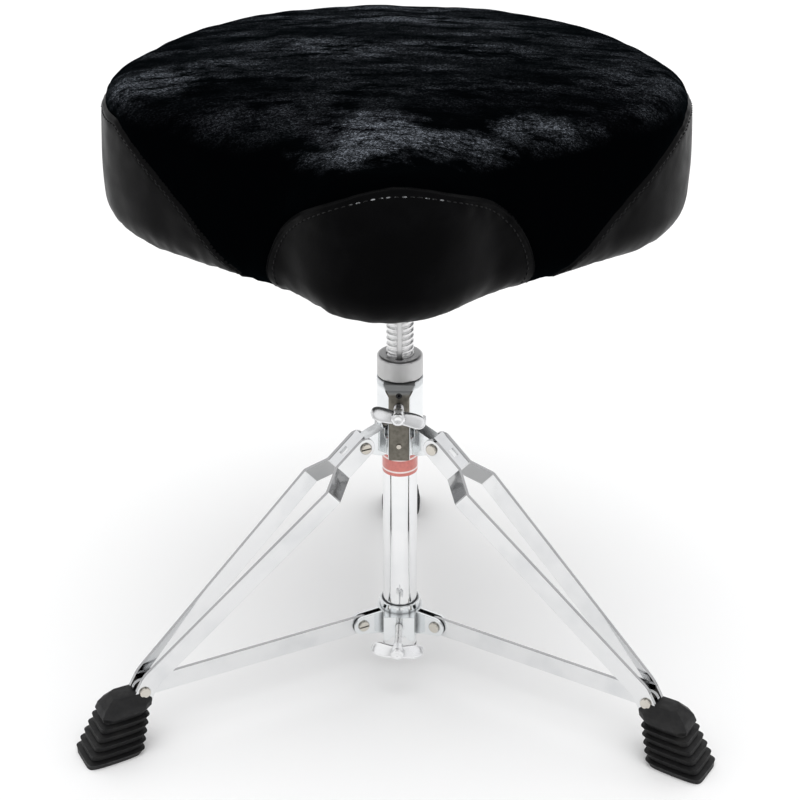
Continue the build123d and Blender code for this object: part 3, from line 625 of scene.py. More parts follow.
@dataclass(frozen=True)
class Rubber:
    """Moulded matt rubber with a fine texture, dust on it and scuffed grey patches."""

    name: str
    dark: Colour
    dusty: Colour

    def build(self) -> bpy.types.Material:
        """Dust is broad noise; the moulding texture is fine noise used as bump."""
        s = Shader(self.name)
        s.fix(Specular_IOR_Level=0.32)
        dust = s.ranged(s.noise(60.0, 6.0, 0.65), 0.42, 0.80)
        s.link("Base Color", s.blend(dust, self.dark, self.dusty))
        s.link("Roughness", s.ranged(s.noise(200.0, 3.0), 0.3, 0.7, (0.48, 0.66)))
        s.link("Normal", s.bump(s.noise(1200.0, 4.0, 0.7), 0.12, 0.5))
        return s.material


@dataclass(frozen=True)
class Film:
    """Glossy printed film with thin light lines near its two edges."""

    name: str
    colour: Colour
    line: Colour
    low_mm: float
    high_mm: float
    inset_mm: float = 3.6
    line_mm: float = 1.5
    fading: float = 0.8

    def build(self) -> bpy.types.Material:
        """A height is on a line when it is within half a width of the line's middle."""
        s = Shader(self.name)
        s.fix(Roughness=0.28, Coat_Weight=0.5, Coat_Roughness=0.08)
        height = s.axis("Z")
        marks: Any = 0.0
        for middle in (self.low_mm + self.inset_mm, self.high_mm - self.inset_mm):
            away = s.absolute(s.maths("SUBTRACT", height, middle * MM))
            half = self.line_mm * MM / 2.0
            marks = s.maths("ADD", marks, s.ranged(away, half * 0.8, half * 1.2, (1, 0)))
        worn = tuple(channel * self.fading for channel in self.colour)
        faded = s.blend(s.ranged(s.noise(300.0, 4.0), 0.4, 0.8), self.colour, worn)
        s.link("Base Color", s.blend(marks, faded, self.line))
        s.link("Normal", s.bump(s.noise(500.0, 2.0), 0.01, 0.4))
        return s.material


@dataclass(frozen=True)
class Plain:
    """Any quieter finish: two colours mottled by noise, with a bump of one grain size."""

    name: str
    colour: Colour
    second: Colour
    rough: float
    grain: float
    depth_mm: float
    stretch: tuple[float, float, float] = (1.0, 1.0, 1.0)

    def build(self) -> bpy.types.Material:
        """Mottle and bump share one noise, stretched along the grain."""
        s = Shader(self.name)
        s.fix(Specular_IOR_Level=0.3)
        place = s.stretched(*(self.grain * f for f in self.stretch))
        mottle = s.noise(1.0, 5.0, 0.6, place)
        s.link("Base Color", s.blend(s.ranged(mottle, 0.3, 0.7), self.colour, self.second))
        s.link("Roughness", s.ranged(mottle, 0.2, 0.8, (self.rough - 0.06, self.rough + 0.08)))
        s.link("Normal", s.bump(mottle, self.depth_mm, 0.6))
        return s.material


@dataclass(frozen=True)
class PaleTopThread:
    """Dark sewing thread, paler where it crosses the highest part of the nose."""

    name: str
    dark: Colour
    pale: Colour
    low_mm: float
    half_mm: float

    def build(self) -> bpy.types.Material:
        """The pale share is noise above the low height and within half a width of the middle."""
        s = Shader(self.name)
        s.fix(Roughness=0.7, Specular_IOR_Level=0.2)
        high = s.ranged(s.axis("Z"), self.low_mm * MM, (self.low_mm + 5.0) * MM)
        aside = s.absolute(s.axis("X"))
        near = s.ranged(aside, self.half_mm * 0.5 * MM, self.half_mm * MM, (1.0, 0.0))
        # pale patches of the thread on the nose's top, from noise
        rubbed = s.ranged(s.noise(150.0, 4.0, 0.7), 0.44, 0.60)
        share = s.product(high, near, rubbed)
        s.link("Base Color", s.blend(share, self.dark, self.pale))
        s.link("Normal", s.bump(s.noise(2500.0, 3.0), 0.1, 0.6))
        return s.material


LEG_ANGLES = {"left": 210.0, "right": 330.0, "rear": 91.9}
# spots of painted sheen on the velour's top
CRUSHED_SHEEN_SPOTS = (
    Spot(-16.0, -128.0, 56.0, 46.0, 1.15),
    Spot(48.0, -130.0, 48.0, 28.0, 0.95),
    Spot(112.0, -98.0, 52.0, 26.0, 0.60),
    Spot(-80.0, -92.0, 120.0, 44.0, 0.12),
    Spot(-190.0, -22.0, 58.0, 34.0, 0.55),
    Spot(182.0, 0.0, 42.0, 80.0, 0.22),
)
CHROME: Colour = (0.88, 0.885, 0.89)
CAST: Colour = (0.84, 0.86, 0.87)
CAST_TINT: Colour = (0.74, 0.76, 0.77)
BLACK_VINYL: Colour = (0.0012, 0.0012, 0.0014)
RUBBED_VINYL: Colour = (0.003, 0.003, 0.0034)
FINISHES: dict[Slot, Any] = {
    Slot.TUBE: Metal("chrome_on_tube", CHROME, (0.83, 0.84, 0.85), 0.04, 0.07),
    Slot.CASTING: Metal("chrome_on_casting", CAST, CAST_TINT, 0.10, 0.14, 0.06),
    # the strap's edges keep 0.55 of their colour under painted dark reflection
    Slot.STRAP: Metal(
        "chrome_on_strap", (0.81, 0.815, 0.82), (0.72, 0.73, 0.74), 0.06, 0.10, 0.03, edge_shade=0.55
    ),
    Slot.SMALL: Metal(
        "chrome_on_fasteners", (0.66, 0.63, 0.57), (0.54, 0.50, 0.44), 0.12, 0.14, 0.04
    ),
    Slot.ZINC: Metal("zinc_plate", (0.60, 0.60, 0.57), (0.48, 0.47, 0.42), 0.26, 0.18, 0.03),
    Slot.DARK: Plain(
        "black_paint", (0.018, 0.018, 0.019), (0.03, 0.03, 0.031), 0.36, 300.0, 0.05
    ),
    Slot.BAND: Film("red_film", (0.66, 0.19, 0.16), (0.92, 0.80, 0.78), 194.0, 212.5),
    Slot.NYLON: Plain(
        "black_nylon", (0.02, 0.02, 0.021), (0.035, 0.035, 0.037), 0.42, 500.0, 0.03
    ),
    Slot.RUBBER: Rubber("foot_rubber_moulded", (0.007, 0.007, 0.0075), (0.018, 0.0175, 0.017)),
    Slot.VELOUR: Velour(
        "crushed_velour", (0.0004, 0.0005, 0.0007), (0.21, 0.23, 0.265), CRUSHED_SHEEN_SPOTS, 528.0
    ),
    Slot.VINYL: Vinyl("seat_vinyl", BLACK_VINYL, RUBBED_VINYL, 0.062),
    Slot.FOAM: Plain("seat_foam", (0.70, 0.62, 0.40), (0.60, 0.52, 0.33), 0.9, 900.0, 0.4),
    Slot.PLYWOOD: Plain(
        "birch_ply", (0.55, 0.40, 0.24), (0.42, 0.29, 0.16), 0.6, 60.0, 0.1, (0.3, 1.0, 8.0)
    ),
    Slot.DUST: Plain(
        "dust_cloth_black", (0.012, 0.012, 0.012), (0.022, 0.022, 0.022), 0.85, 700.0, 0.12
    ),
}
NODE_FINISHES: dict[str, Metal] = {
    "height_nut": Metal(
        "satin_collar", (0.50, 0.50, 0.50), (0.38, 0.38, 0.37), 0.30, 0.12, 0.05, cavity_mm=4.0
    ),
    # the casting's spine and flare carry painted dark and grey reflection
    "top_casting": Metal(
        "dulled_rib_painted_reflection", CAST, CAST_TINT, 0.10, 0.14, 0.06, cavity_mm=1.5, spine=Spine()
    ),
}
# wide painted shade (ambient occlusion over 9 mm) darkens the bridge's corners
BRIDGE = Metal(
    "chrome_on_bridge", (0.80, 0.81, 0.82), (0.66, 0.67, 0.68), 0.10, 0.12, 0.03, cavity_mm=9.0
)
NODE_FINISHES.update({f"leg_{leg}_bridge": BRIDGE for leg in LEG_ANGLES})
THREADED = Metal(
    "satin_thread", (0.84, 0.84, 0.84), (0.74, 0.74, 0.73), 0.32, 0.12, 0.05, cavity_mm=1.6
)
WING_CHROME = Metal(
    "chrome_on_wings", CHROME, (0.82, 0.825, 0.84), 0.22, 0.10, 0.02, cavity_mm=3.0
)
NOSE_VINYL = Vinyl("nose_vinyl", BLACK_VINYL, RUBBED_VINYL, 0.029)
THREAD = PaleTopThread("seat_thread", (0.006, 0.006, 0.0065), (0.30, 0.31, 0.32), 498.0, 62.0)


class Workshop:
    """Makes materials once each, places new pieces and dresses the frame's own nodes."""

    def __init__(self) -> None:
        """Starts with no material made."""
        self.made: dict[str, bpy.types.Material] = {}

    def material(self, finish: Any) -> bpy.types.Material:
        """Material of a finish, built on first use."""
        if finish.name not in self.made:
            self.made[finish.name] = finish.build()
        return self.made[finish.name]

    def place(
        self,
        name: str,
        surface: Surface,
        slot: Slot,
        body: Body,
        replaces: Sequence[str] = (),
        finish: Any = None,
    ) -> bpy.types.Object:
        """Turns a surface into a piece that rides on a body.

        Args:
            name: name of the piece.
            surface: its surface in millimetres.
            slot: the record's material slot.
            body: body that carries it.
            replaces: nodes of the frame that it stands for.
            finish: finish, if not the slot's own.

        Returns:
            The new object.
        """
        mesh = bpy.data.meshes.new(name)
        mesh.from_pydata(surface.points * MM, [], surface.faces)
        mesh.polygons.foreach_set("use_smooth", np.ones(len(mesh.polygons), dtype=bool))
        mesh.update()
        piece = bpy.data.objects.new(name, mesh)
        bpy.context.scene.collection.objects.link(piece)
        mesh.materials.append(self.material(finish or FINISHES[slot]))
        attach(piece, body.value)
        if replaces:
            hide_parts(*replaces)
        LOG.info("piece %s: %d points, %d faces", name, len(surface.points), len(surface.faces))
        return piece

    def sharpen(self, piece: bpy.types.Object, degrees: float) -> None:
        """Keeps edges steeper than the given angle sharp on a smooth-shaded piece."""
        piece.data.set_sharp_from_angle(angle=math.radians(degrees))

    def dress(self) -> None:
        """Gives every node of the frame the finish of its slot in the record."""
        slots = {row["node"]: Slot(row["material_slot"]) for row in frame["record"]["subparts"]}
        for name, node in frame["nodes"].items():
            for held in node.material_slots:
                held.material = self.material(NODE_FINISHES.get(name, FINISHES[slots[name]]))
        LOG.info("dressed %d nodes", len(frame["nodes"]))


# ------------------------------------------------------------------ seat
NO_SEAM = -60.0


def slow_waves(place: Array) -> Array:
    """Slow unevenness of the stuffing: two ripples of 75 and 28 mm, in millimetres."""
    return 0.55 * ripple(place, 75.0, 3) + 0.22 * ripple(place, 28.0, 8)


@dataclass
class SeatForm:
    """The padded saddle as one surface over (column round the outline, length up the side)."""

    nose: tuple[float, float, float] = (0.0, -241.8, 69.0)
    flank: tuple[float, float, float] = (73.0, -151.0, 60.0)
    side: tuple[float, float, float] = (250.5, -19.0, 121.0)
    rear: tuple[float, float, float] = (148.0, 227.0, 212.0)
    slack: float = 1.0
    bottom: float = 408.0
    hem: float = 24.0
    low_round: float = 28.0
    high_round: float = 28.0
    rim_rear: float = 525.0
    rim_nose: float = 515.0
    crown: float = 531.5
    belly: float = 1.5
    nose_radius: float = 95.0
    nose_rise: float = 8.0
    nose_height: float = 94.5
    nose_power: float = 2.05
    nose_aside: float = 8.0
    seam_aside: float = 8.0
    seam_rise: float = 98.0
    seam_start: float = 113.0
    seam_middle: tuple[float, float] = (160.0, 53.0)
    seam_end: float = 212.0
    turn: float = 0.5
    aside: float = -3.5
    soften: float = 5.0
    columns: int = 480
    sim_columns: int = 200
    sim_rows: int = 33
    sim_frames: int = 20
    cap: float = 5.0
    cap_margin: float = 1.3
    swell: Array = field(default_factory=lambda: np.zeros((8, 8, 3)))

    def outline(self, count: int) -> tuple[Array, Array]:
        """Rounded polygon: each corner is an arc tangent to its two sides, then evenly spaced.

        Args:
            count: number of columns; column 0 is at the rear, count / 2 at the nose.

        Returns:
            Points and outward normals, both (count, 2).
        """
        right = [self.flank, self.side, self.rear]
        left = [(-x, y, r) for x, y, r in reversed(right)]
        corners = [*left, self.nose, *right]
        places = np.array([(x, y) for x, y, _ in corners])
        path = [np.array([[0.0, self.rear[1]]])]
        for i, (_, _, radius) in enumerate(corners):
            corner = places[i]
            back = unit(places[i - 1] - corner)
            ahead = unit(places[(i + 1) % len(corners)] - corner)
            turn = math.pi - math.acos(float(back @ ahead))
            reach = radius * math.tan(turn / 2.0)
            centre = corner + unit(back + ahead) * radius / math.cos(turn / 2.0)
            share = np.linspace(0.0, 1.0, 60)[:, None]
            start, end = corner + back * reach - centre, corner + ahead * reach - centre
            arc = np.sin((1.0 - share) * turn) * start + np.sin(share * turn) * end
            path.append(centre + arc / math.sin(turn))
        path.append(path[0])
        line = np.concatenate(path)
        travel = np.concatenate([[0.0], np.cumsum(np.linalg.norm(np.diff(line, axis=0), axis=1))])
        even = np.linspace(0.0, travel[-1], count, endpoint=False)
        points = np.stack([np.interp(even, travel, line[:, k]) for k in (0, 1)], axis=-1)
        rate = np.fft.fftfreq(count, d=travel[-1] / count) * 2.0 * np.pi
        soften = np.exp(-0.5 * (rate * self.soften) ** 2)[:, None]
        points = np.fft.ifft(np.fft.fft(points, axis=0) * soften, axis=0).real
        along = unit(np.roll(points, -1, axis=0) - np.roll(points, 1, axis=0))
        normals = np.stack([along[:, 1], -along[:, 0]], axis=-1)
        return points - normals * self.slack, normals

    def rim(self, points: Array) -> Array:
        """Height of the top's edge: level at the rear, falling smoothly towards the nose."""
        forward = smooth_rise(10.0, 190.0, -points[:, 1])
        return self.rim_rear - (self.rim_rear - self.rim_nose) * forward

    def marks(self, points: Array) -> tuple[Array, Array, Array]:
        """Lengths up the side where the rounding starts, where the wall ends and the top begins."""
        low = self.hem + self.low_round * np.pi / 2.0 + 0.0 * points[:, 0]
        high = low + self.rim(points) - self.high_round - self.bottom - self.low_round
        return low, high, high + self.high_round * np.pi / 2.0

    def seam(self, points: Array) -> Array:
        """Length up the side of the seam at each column.

        Seen from the front the nose patch ends on half a superellipse, with
        ((x - aside) / radius)^p + ((z - rise) / height)^p = 1. The side panel ends on an arc
        through three places on the flank, and on a level line round the rear. Both seams stand a
        little to the right of the middle.

        Args:
            points: outline points of the columns.

        Returns:
            Lengths up the side; 0 where the column has no seam.
        """
        x, y = np.abs(points[:, 0] - self.seam_aside), points[:, 1]
        reach = np.abs(points[:, 0] - self.nose_aside)
        left = np.maximum(1.0 - (reach / self.nose_radius) ** self.nose_power, 0.0)
        arch = self.nose_rise + self.nose_height * left ** (1.0 / self.nose_power)
        x1, z1 = self.seam_start, 0.0
        (x2, z2), (x3, z3) = self.seam_middle, (self.seam_end, self.seam_rise)
        matrix = 2.0 * np.array([[x2 - x1, z2 - z1], [x3 - x1, z3 - z1]])
        squares = np.array([x2**2 - x1**2 + z2**2 - z1**2, x3**2 - x1**2 + z3**2 - z1**2])
        xc, zc = np.linalg.solve(matrix, squares)
        radius = math.hypot(x1 - xc, z1 - zc)
        away = np.sqrt(np.maximum(radius**2 - (x - xc) ** 2, 0.0))
        curve = zc + math.copysign(1.0, z1 - zc + 1e-9) * away
        level = (y > 0.0) | (x >= self.seam_end)
        panel = np.where(level, self.seam_rise, np.where(x < self.seam_start, NO_SEAM, curve))
        on_nose = (y < 0.0) & (reach <= self.nose_radius)
        return self.climb(points, np.where(on_nose, arch, panel))

    def climb(self, points: Array, rise: Array) -> Array:
        """Length up the side at a height above the bottom.

        Args:
            points: outline points of the columns.
            rise: height above the bottom for each of them.

        Returns:
            Lengths from the hem's inner edge; 0 where the rise is below the bottom.
        """
        low, high, _ = self.marks(points)
        angle = np.arccos(np.clip(1.0 - rise / self.low_round, -1.0, 1.0))
        turn_low = self.hem + self.low_round * angle
        wall = low + rise - self.low_round
        top_rise = self.bottom + rise - (self.rim(points) - self.high_round)
        bend = np.arcsin(np.clip(top_rise / self.high_round, 0.0, 1.0))
        upper = np.where(top_rise < 0.0, wall, high + self.high_round * bend)
        length = np.where(rise < self.low_round, turn_low, upper)
        return np.clip(np.where(rise < 0.0, self.hem + 2.0 * rise, length), 0.0, None)

    def columns_at(self, places: Array) -> tuple[Array, Array]:
        """Outline points and unit normals at fractional columns, on straight lines between two.

        Args:
            places: columns, which need not be whole numbers.

        Returns:
            Points and normals, both (count, 2).
        """
        points, normals = self.outline(self.columns)
        base = np.floor(places).astype(int)
        share = (places - base)[:, None]
        pairs = [(a[base % self.columns], a[(base + 1) % self.columns]) for a in (points, normals)]
        mixed = [first * (1.0 - share) + second * share for first, second in pairs]
        return mixed[0], unit(mixed[1])

    def nose_columns(self, inset: float, count: int) -> tuple[Array, Array]:
        """Columns under an arch of the nose patch, evenly spaced round it.

        Args:
            inset: distance inside the patch's own seam.
            count: number of columns.

        Returns:
            Fractional columns, and the arch's rise at each of them.
        """
        points, _ = self.outline(self.columns)
        front = np.flatnonzero((np.abs(points[:, 0]) < 130.0) & (points[:, 1] < 0.0))
        angle = np.linspace(-0.5, 0.5, count) * np.pi * 0.998
        sine, power = np.sin(angle), 2.0 / self.nose_power
        reach = (self.nose_radius - inset) * np.sign(sine) * np.abs(sine) ** power
        across = self.nose_aside + reach
        rise = self.nose_rise + (self.nose_height - inset) * np.cos(angle) ** power
        return np.interp(across, points[front, 0], front), rise

    def placed(self, surface: Surface) -> Surface:
        """Surface moved aside and turned as the seat stands on its screw."""
        moved = surface.points + np.array([self.aside, 0.0, 0.0])
        return Surface(moved, surface.faces).turned(self.turn)

    def side_surface(self, points: Array, normals: Array, length: Array) -> tuple[Array, Array]:
        """Side of the seat: hem, quarter round, wall with a slight belly, quarter round.

        Args:
            points: outline points, (columns, 2).
            normals: outward normals there.
            length: length up the side, (rows, columns).

        Returns:
            Places and unit normals, both (rows, columns, 3).
        """
        low, high, _ = self.marks(points)
        slope_low = np.clip((length - self.hem) / self.low_round, 0.0, np.pi / 2.0)
        slope_high = np.clip((length - high) / self.high_round, 0.0, np.pi / 2.0)
        inset = np.clip(self.hem - length, 0.0, None)
        inset += self.low_round * (1.0 - np.sin(slope_low))
        inset += self.high_round * (1.0 - np.cos(slope_high))
        z = self.bottom + self.low_round * (1.0 - np.cos(slope_low))
        z += np.clip(length - low, 0.0, high - low) + self.high_round * np.sin(slope_high)
        part = np.clip((z - self.bottom) / self.seam_rise, 0.0, 1.0)
        inset -= self.belly * np.sin(np.pi * part) ** 1.3
        tilt = np.where(length < low, slope_low - np.pi / 2.0, slope_high)
        flat = points[None] - normals[None] * inset[..., None]
        place = np.concatenate([flat, z[..., None]], axis=-1)
        level = normals[None] * np.cos(tilt)[..., None]
        return place, np.concatenate([level, np.sin(tilt)[..., None]], axis=-1)

    def top_surface(self, points: Array, normals: Array, share: Array) -> tuple[Array, Array]:
        """Top of the seat: the inner edge drawn in to the middle, on a low crown.

        Height is crown + (edge - crown) * share^2, so it is level at the middle.

        Args:
            points: outline points, (columns, 2).
            normals: outward normals there.
            share: 1 at the edge and 0 at the middle, (rows,).

        Returns:
            Places and unit normals, both (rows, columns, 3).
        """
        edge = points - normals * self.high_round
        flat = edge[None] * share[:, None, None]
        z = self.crown + (self.rim(points)[None] - self.crown) * share[:, None] ** 2
        place = np.concatenate([flat, z[..., None]], axis=-1)
        up = np.zeros_like(place)
        up[..., 2] = 1.0
        return place, up

    def swelling(self, column: Array, row: Array) -> Array:
        """Simulated movement at any place, by cubic B-splines over the coarse grid.

        Args:
            column: share of the way round, 0 to 1.
            row: 0 at the hem, 1 at the top's edge, 2 at the middle.

        Returns:
            Movement in millimetres with a last axis of 3.
        """
        rows, columns = self.swell.shape[:2]
        c0, wc = spline_weights(column * columns)
        r0, wr = spline_weights(row * (rows - 1) / 2.0)
        total = np.zeros((*column.shape, 3))
        for i in range(4):
            line = np.clip(r0 + i - 1, 0, rows - 1)
            for k in range(4):
                weight = wr[..., i] * wc[..., k]
                total += self.swell[line, (c0 + k - 1) % columns] * weight[..., None]
        return total

    def sample(self, chosen: Array, length: Array, inner: float = 0.0) -> Array:
        """Finished side of the seat with its seam dents, puckers and swelling.

        Args:
            chosen: indices of the columns used.
            length: length up the side, (rows, columns).
            inner: depth below the outer face.

        Returns:
            Places, (rows, columns, 3).
        """
        points, normals = self.columns_at(np.asarray(chosen, dtype=float))
        place, out = self.side_surface(points, normals, length)
        seam = self.seam(points)
        _, _, end = self.marks(points)
        column = np.broadcast_to(chosen / self.columns, length.shape)
        place = place + self.swelling(column, length / end)
        return place + out * (self.relief(place, length - seam, seam, points) - inner)[..., None]

    def relief(self, place: Array, past: Array, seam: Array, points: Array) -> Array:
        """Small heights of the sewn cover, in millimetres.

        A narrow dent on the seam, a soft ridge and a stitch groove on the vinyl side, puckers that
        fade away from the seam and the hem, and a slow waviness all over. Near the hem nothing
        dips further than 1.6 mm, so that the cover stays off the board.

        Args:
            place: places on the bare form.
            past: length up the side beyond the seam, below 0 on the vinyl.
            seam: length up the side of the seam at each column.
            points: outline points of the columns.

        Returns:
            Height at each place.
        """
        sewn = smooth_rise(2.0, 12.0, seam)
        dent = -1.5 * np.exp(-((past / 2.4) ** 2)) * sewn
        ridge = 0.55 * np.exp(-(((past + 3.2) / 1.6) ** 2)) * sewn
        groove = -0.45 * np.exp(-(((past + 5.4) / 0.9) ** 2)) * sewn
        pucker = np.exp(-((past / 16.0) ** 2)) * sewn * 0.35 * ripple(place, 11.0, 5)
        z = place[..., 2]
        hem = np.exp(-(((z - self.bottom - 5.0) / 12.0) ** 2))
        left = 0.45 + 0.9 * smooth_rise(-20.0, 120.0, -place[..., 0])
        across = place * np.array([1.0, 1.0, 0.12])
        gathers = hem * left * ripple(across, 13.0, 11)
        back = np.where(points[:, 1] > 0.0, 1.0, 0.65)
        deepest = -1.6 - 6.0 * smooth_rise(16.0, 30.0, z - self.bottom)
        total = dent + ridge + groove + pucker + gathers * back + slow_waves(place)
        return np.maximum(total, deepest)

    def simulate(self) -> None:
        """Blows the pad up as cloth, held along its seams and its hem, and keeps the movement.

        The coarse grid is a closed mesh. Its vertices are pinned by how near they are to a seam.
        The movement is scaled so that its 98th percentile is the cap, which keeps every run alike,
        and nothing moves further than the cap with its margin.
        """
        points, normals = self.outline(self.sim_columns)
        low, _, end = self.marks(points)
        length = np.linspace(0.0, 1.0, self.sim_rows)[:, None] * end[None]
        side, _ = self.side_surface(points, normals, length)
        inward = np.linspace(1.0, 0.04, self.sim_rows)[1:]
        top, _ = self.top_surface(points, normals, inward)
        place = np.concatenate([side, top])
        surface = grid(place)
        seam = self.seam(points)
        near = np.exp(-(((length - seam) / 5.0) ** 2)) * smooth_rise(2.0, 12.0, seam)
        held = np.maximum(near, smooth_rise(low * 0.75, low * 0.55, length))
        weight = np.zeros(len(surface.points))
        weight[: held.size] = held.ravel()
        weight[-2] = 1.0
        moved = self.blown(surface, weight)
        change = (moved[: place[..., 0].size] / MM - place.reshape(-1, 3)).reshape(place.shape)
        size = np.linalg.norm(change, axis=-1)
        LOG.info("cloth moved the pad up to %.1f mm", float(size.max()))
        self.swell = change * self.cap / max(float(np.percentile(size, 98)), 1e-6)
        most = self.cap * self.cap_margin
        reach = np.maximum(np.linalg.norm(self.swell, axis=-1), most)
        self.swell *= (most / reach)[..., None]

    def blown(self, surface: Surface, weight: Array) -> Array:
        """Cloth simulation of a closed surface with pressure inside it.

        Args:
            surface: the surface in millimetres.
            weight: how firmly each vertex is held, 0 to 1.

        Returns:
            Places of the vertices at the last frame, in metres.
        """
        body = bpy.data.meshes.new("pad_form")
        body.from_pydata(surface.points * MM, [], surface.faces)
        form = bpy.data.objects.new("pad_form", body)
        bpy.context.scene.collection.objects.link(form)
        group = form.vertex_groups.new(name="held")
        for level in np.linspace(0.1, 1.0, 10):
            found = np.flatnonzero(np.abs(weight - level) <= 0.05)
            group.add(found.tolist(), float(level), "REPLACE")
        cloth = form.modifiers.new("cloth", "CLOTH")
        rules = cloth.settings
        rules.quality = 5
        rules.mass = 0.25
        rules.tension_stiffness = rules.compression_stiffness = 12.0
        rules.bending_stiffness = 0.6
        rules.use_pressure = True
        rules.uniform_pressure_force = 4.0
        rules.shrink_min = -0.03
        rules.vertex_group_mass = "held"
        rules.effector_weights.gravity = 0.0
        cloth.collision_settings.use_collision = False
        scene = bpy.context.scene
        cloth.point_cache.frame_start, cloth.point_cache.frame_end = 1, self.sim_frames
        for number in range(1, self.sim_frames + 1):
            scene.frame_set(number)
        posed = form.evaluated_get(bpy.context.evaluated_depsgraph_get()).to_mesh()
        moved = np.empty(len(posed.vertices) * 3)
        posed.vertices.foreach_get("co", moved)
        scene.frame_set(1)
        bpy.data.objects.remove(form)
        bpy.data.meshes.remove(body)
        return moved.reshape(-1, 3)


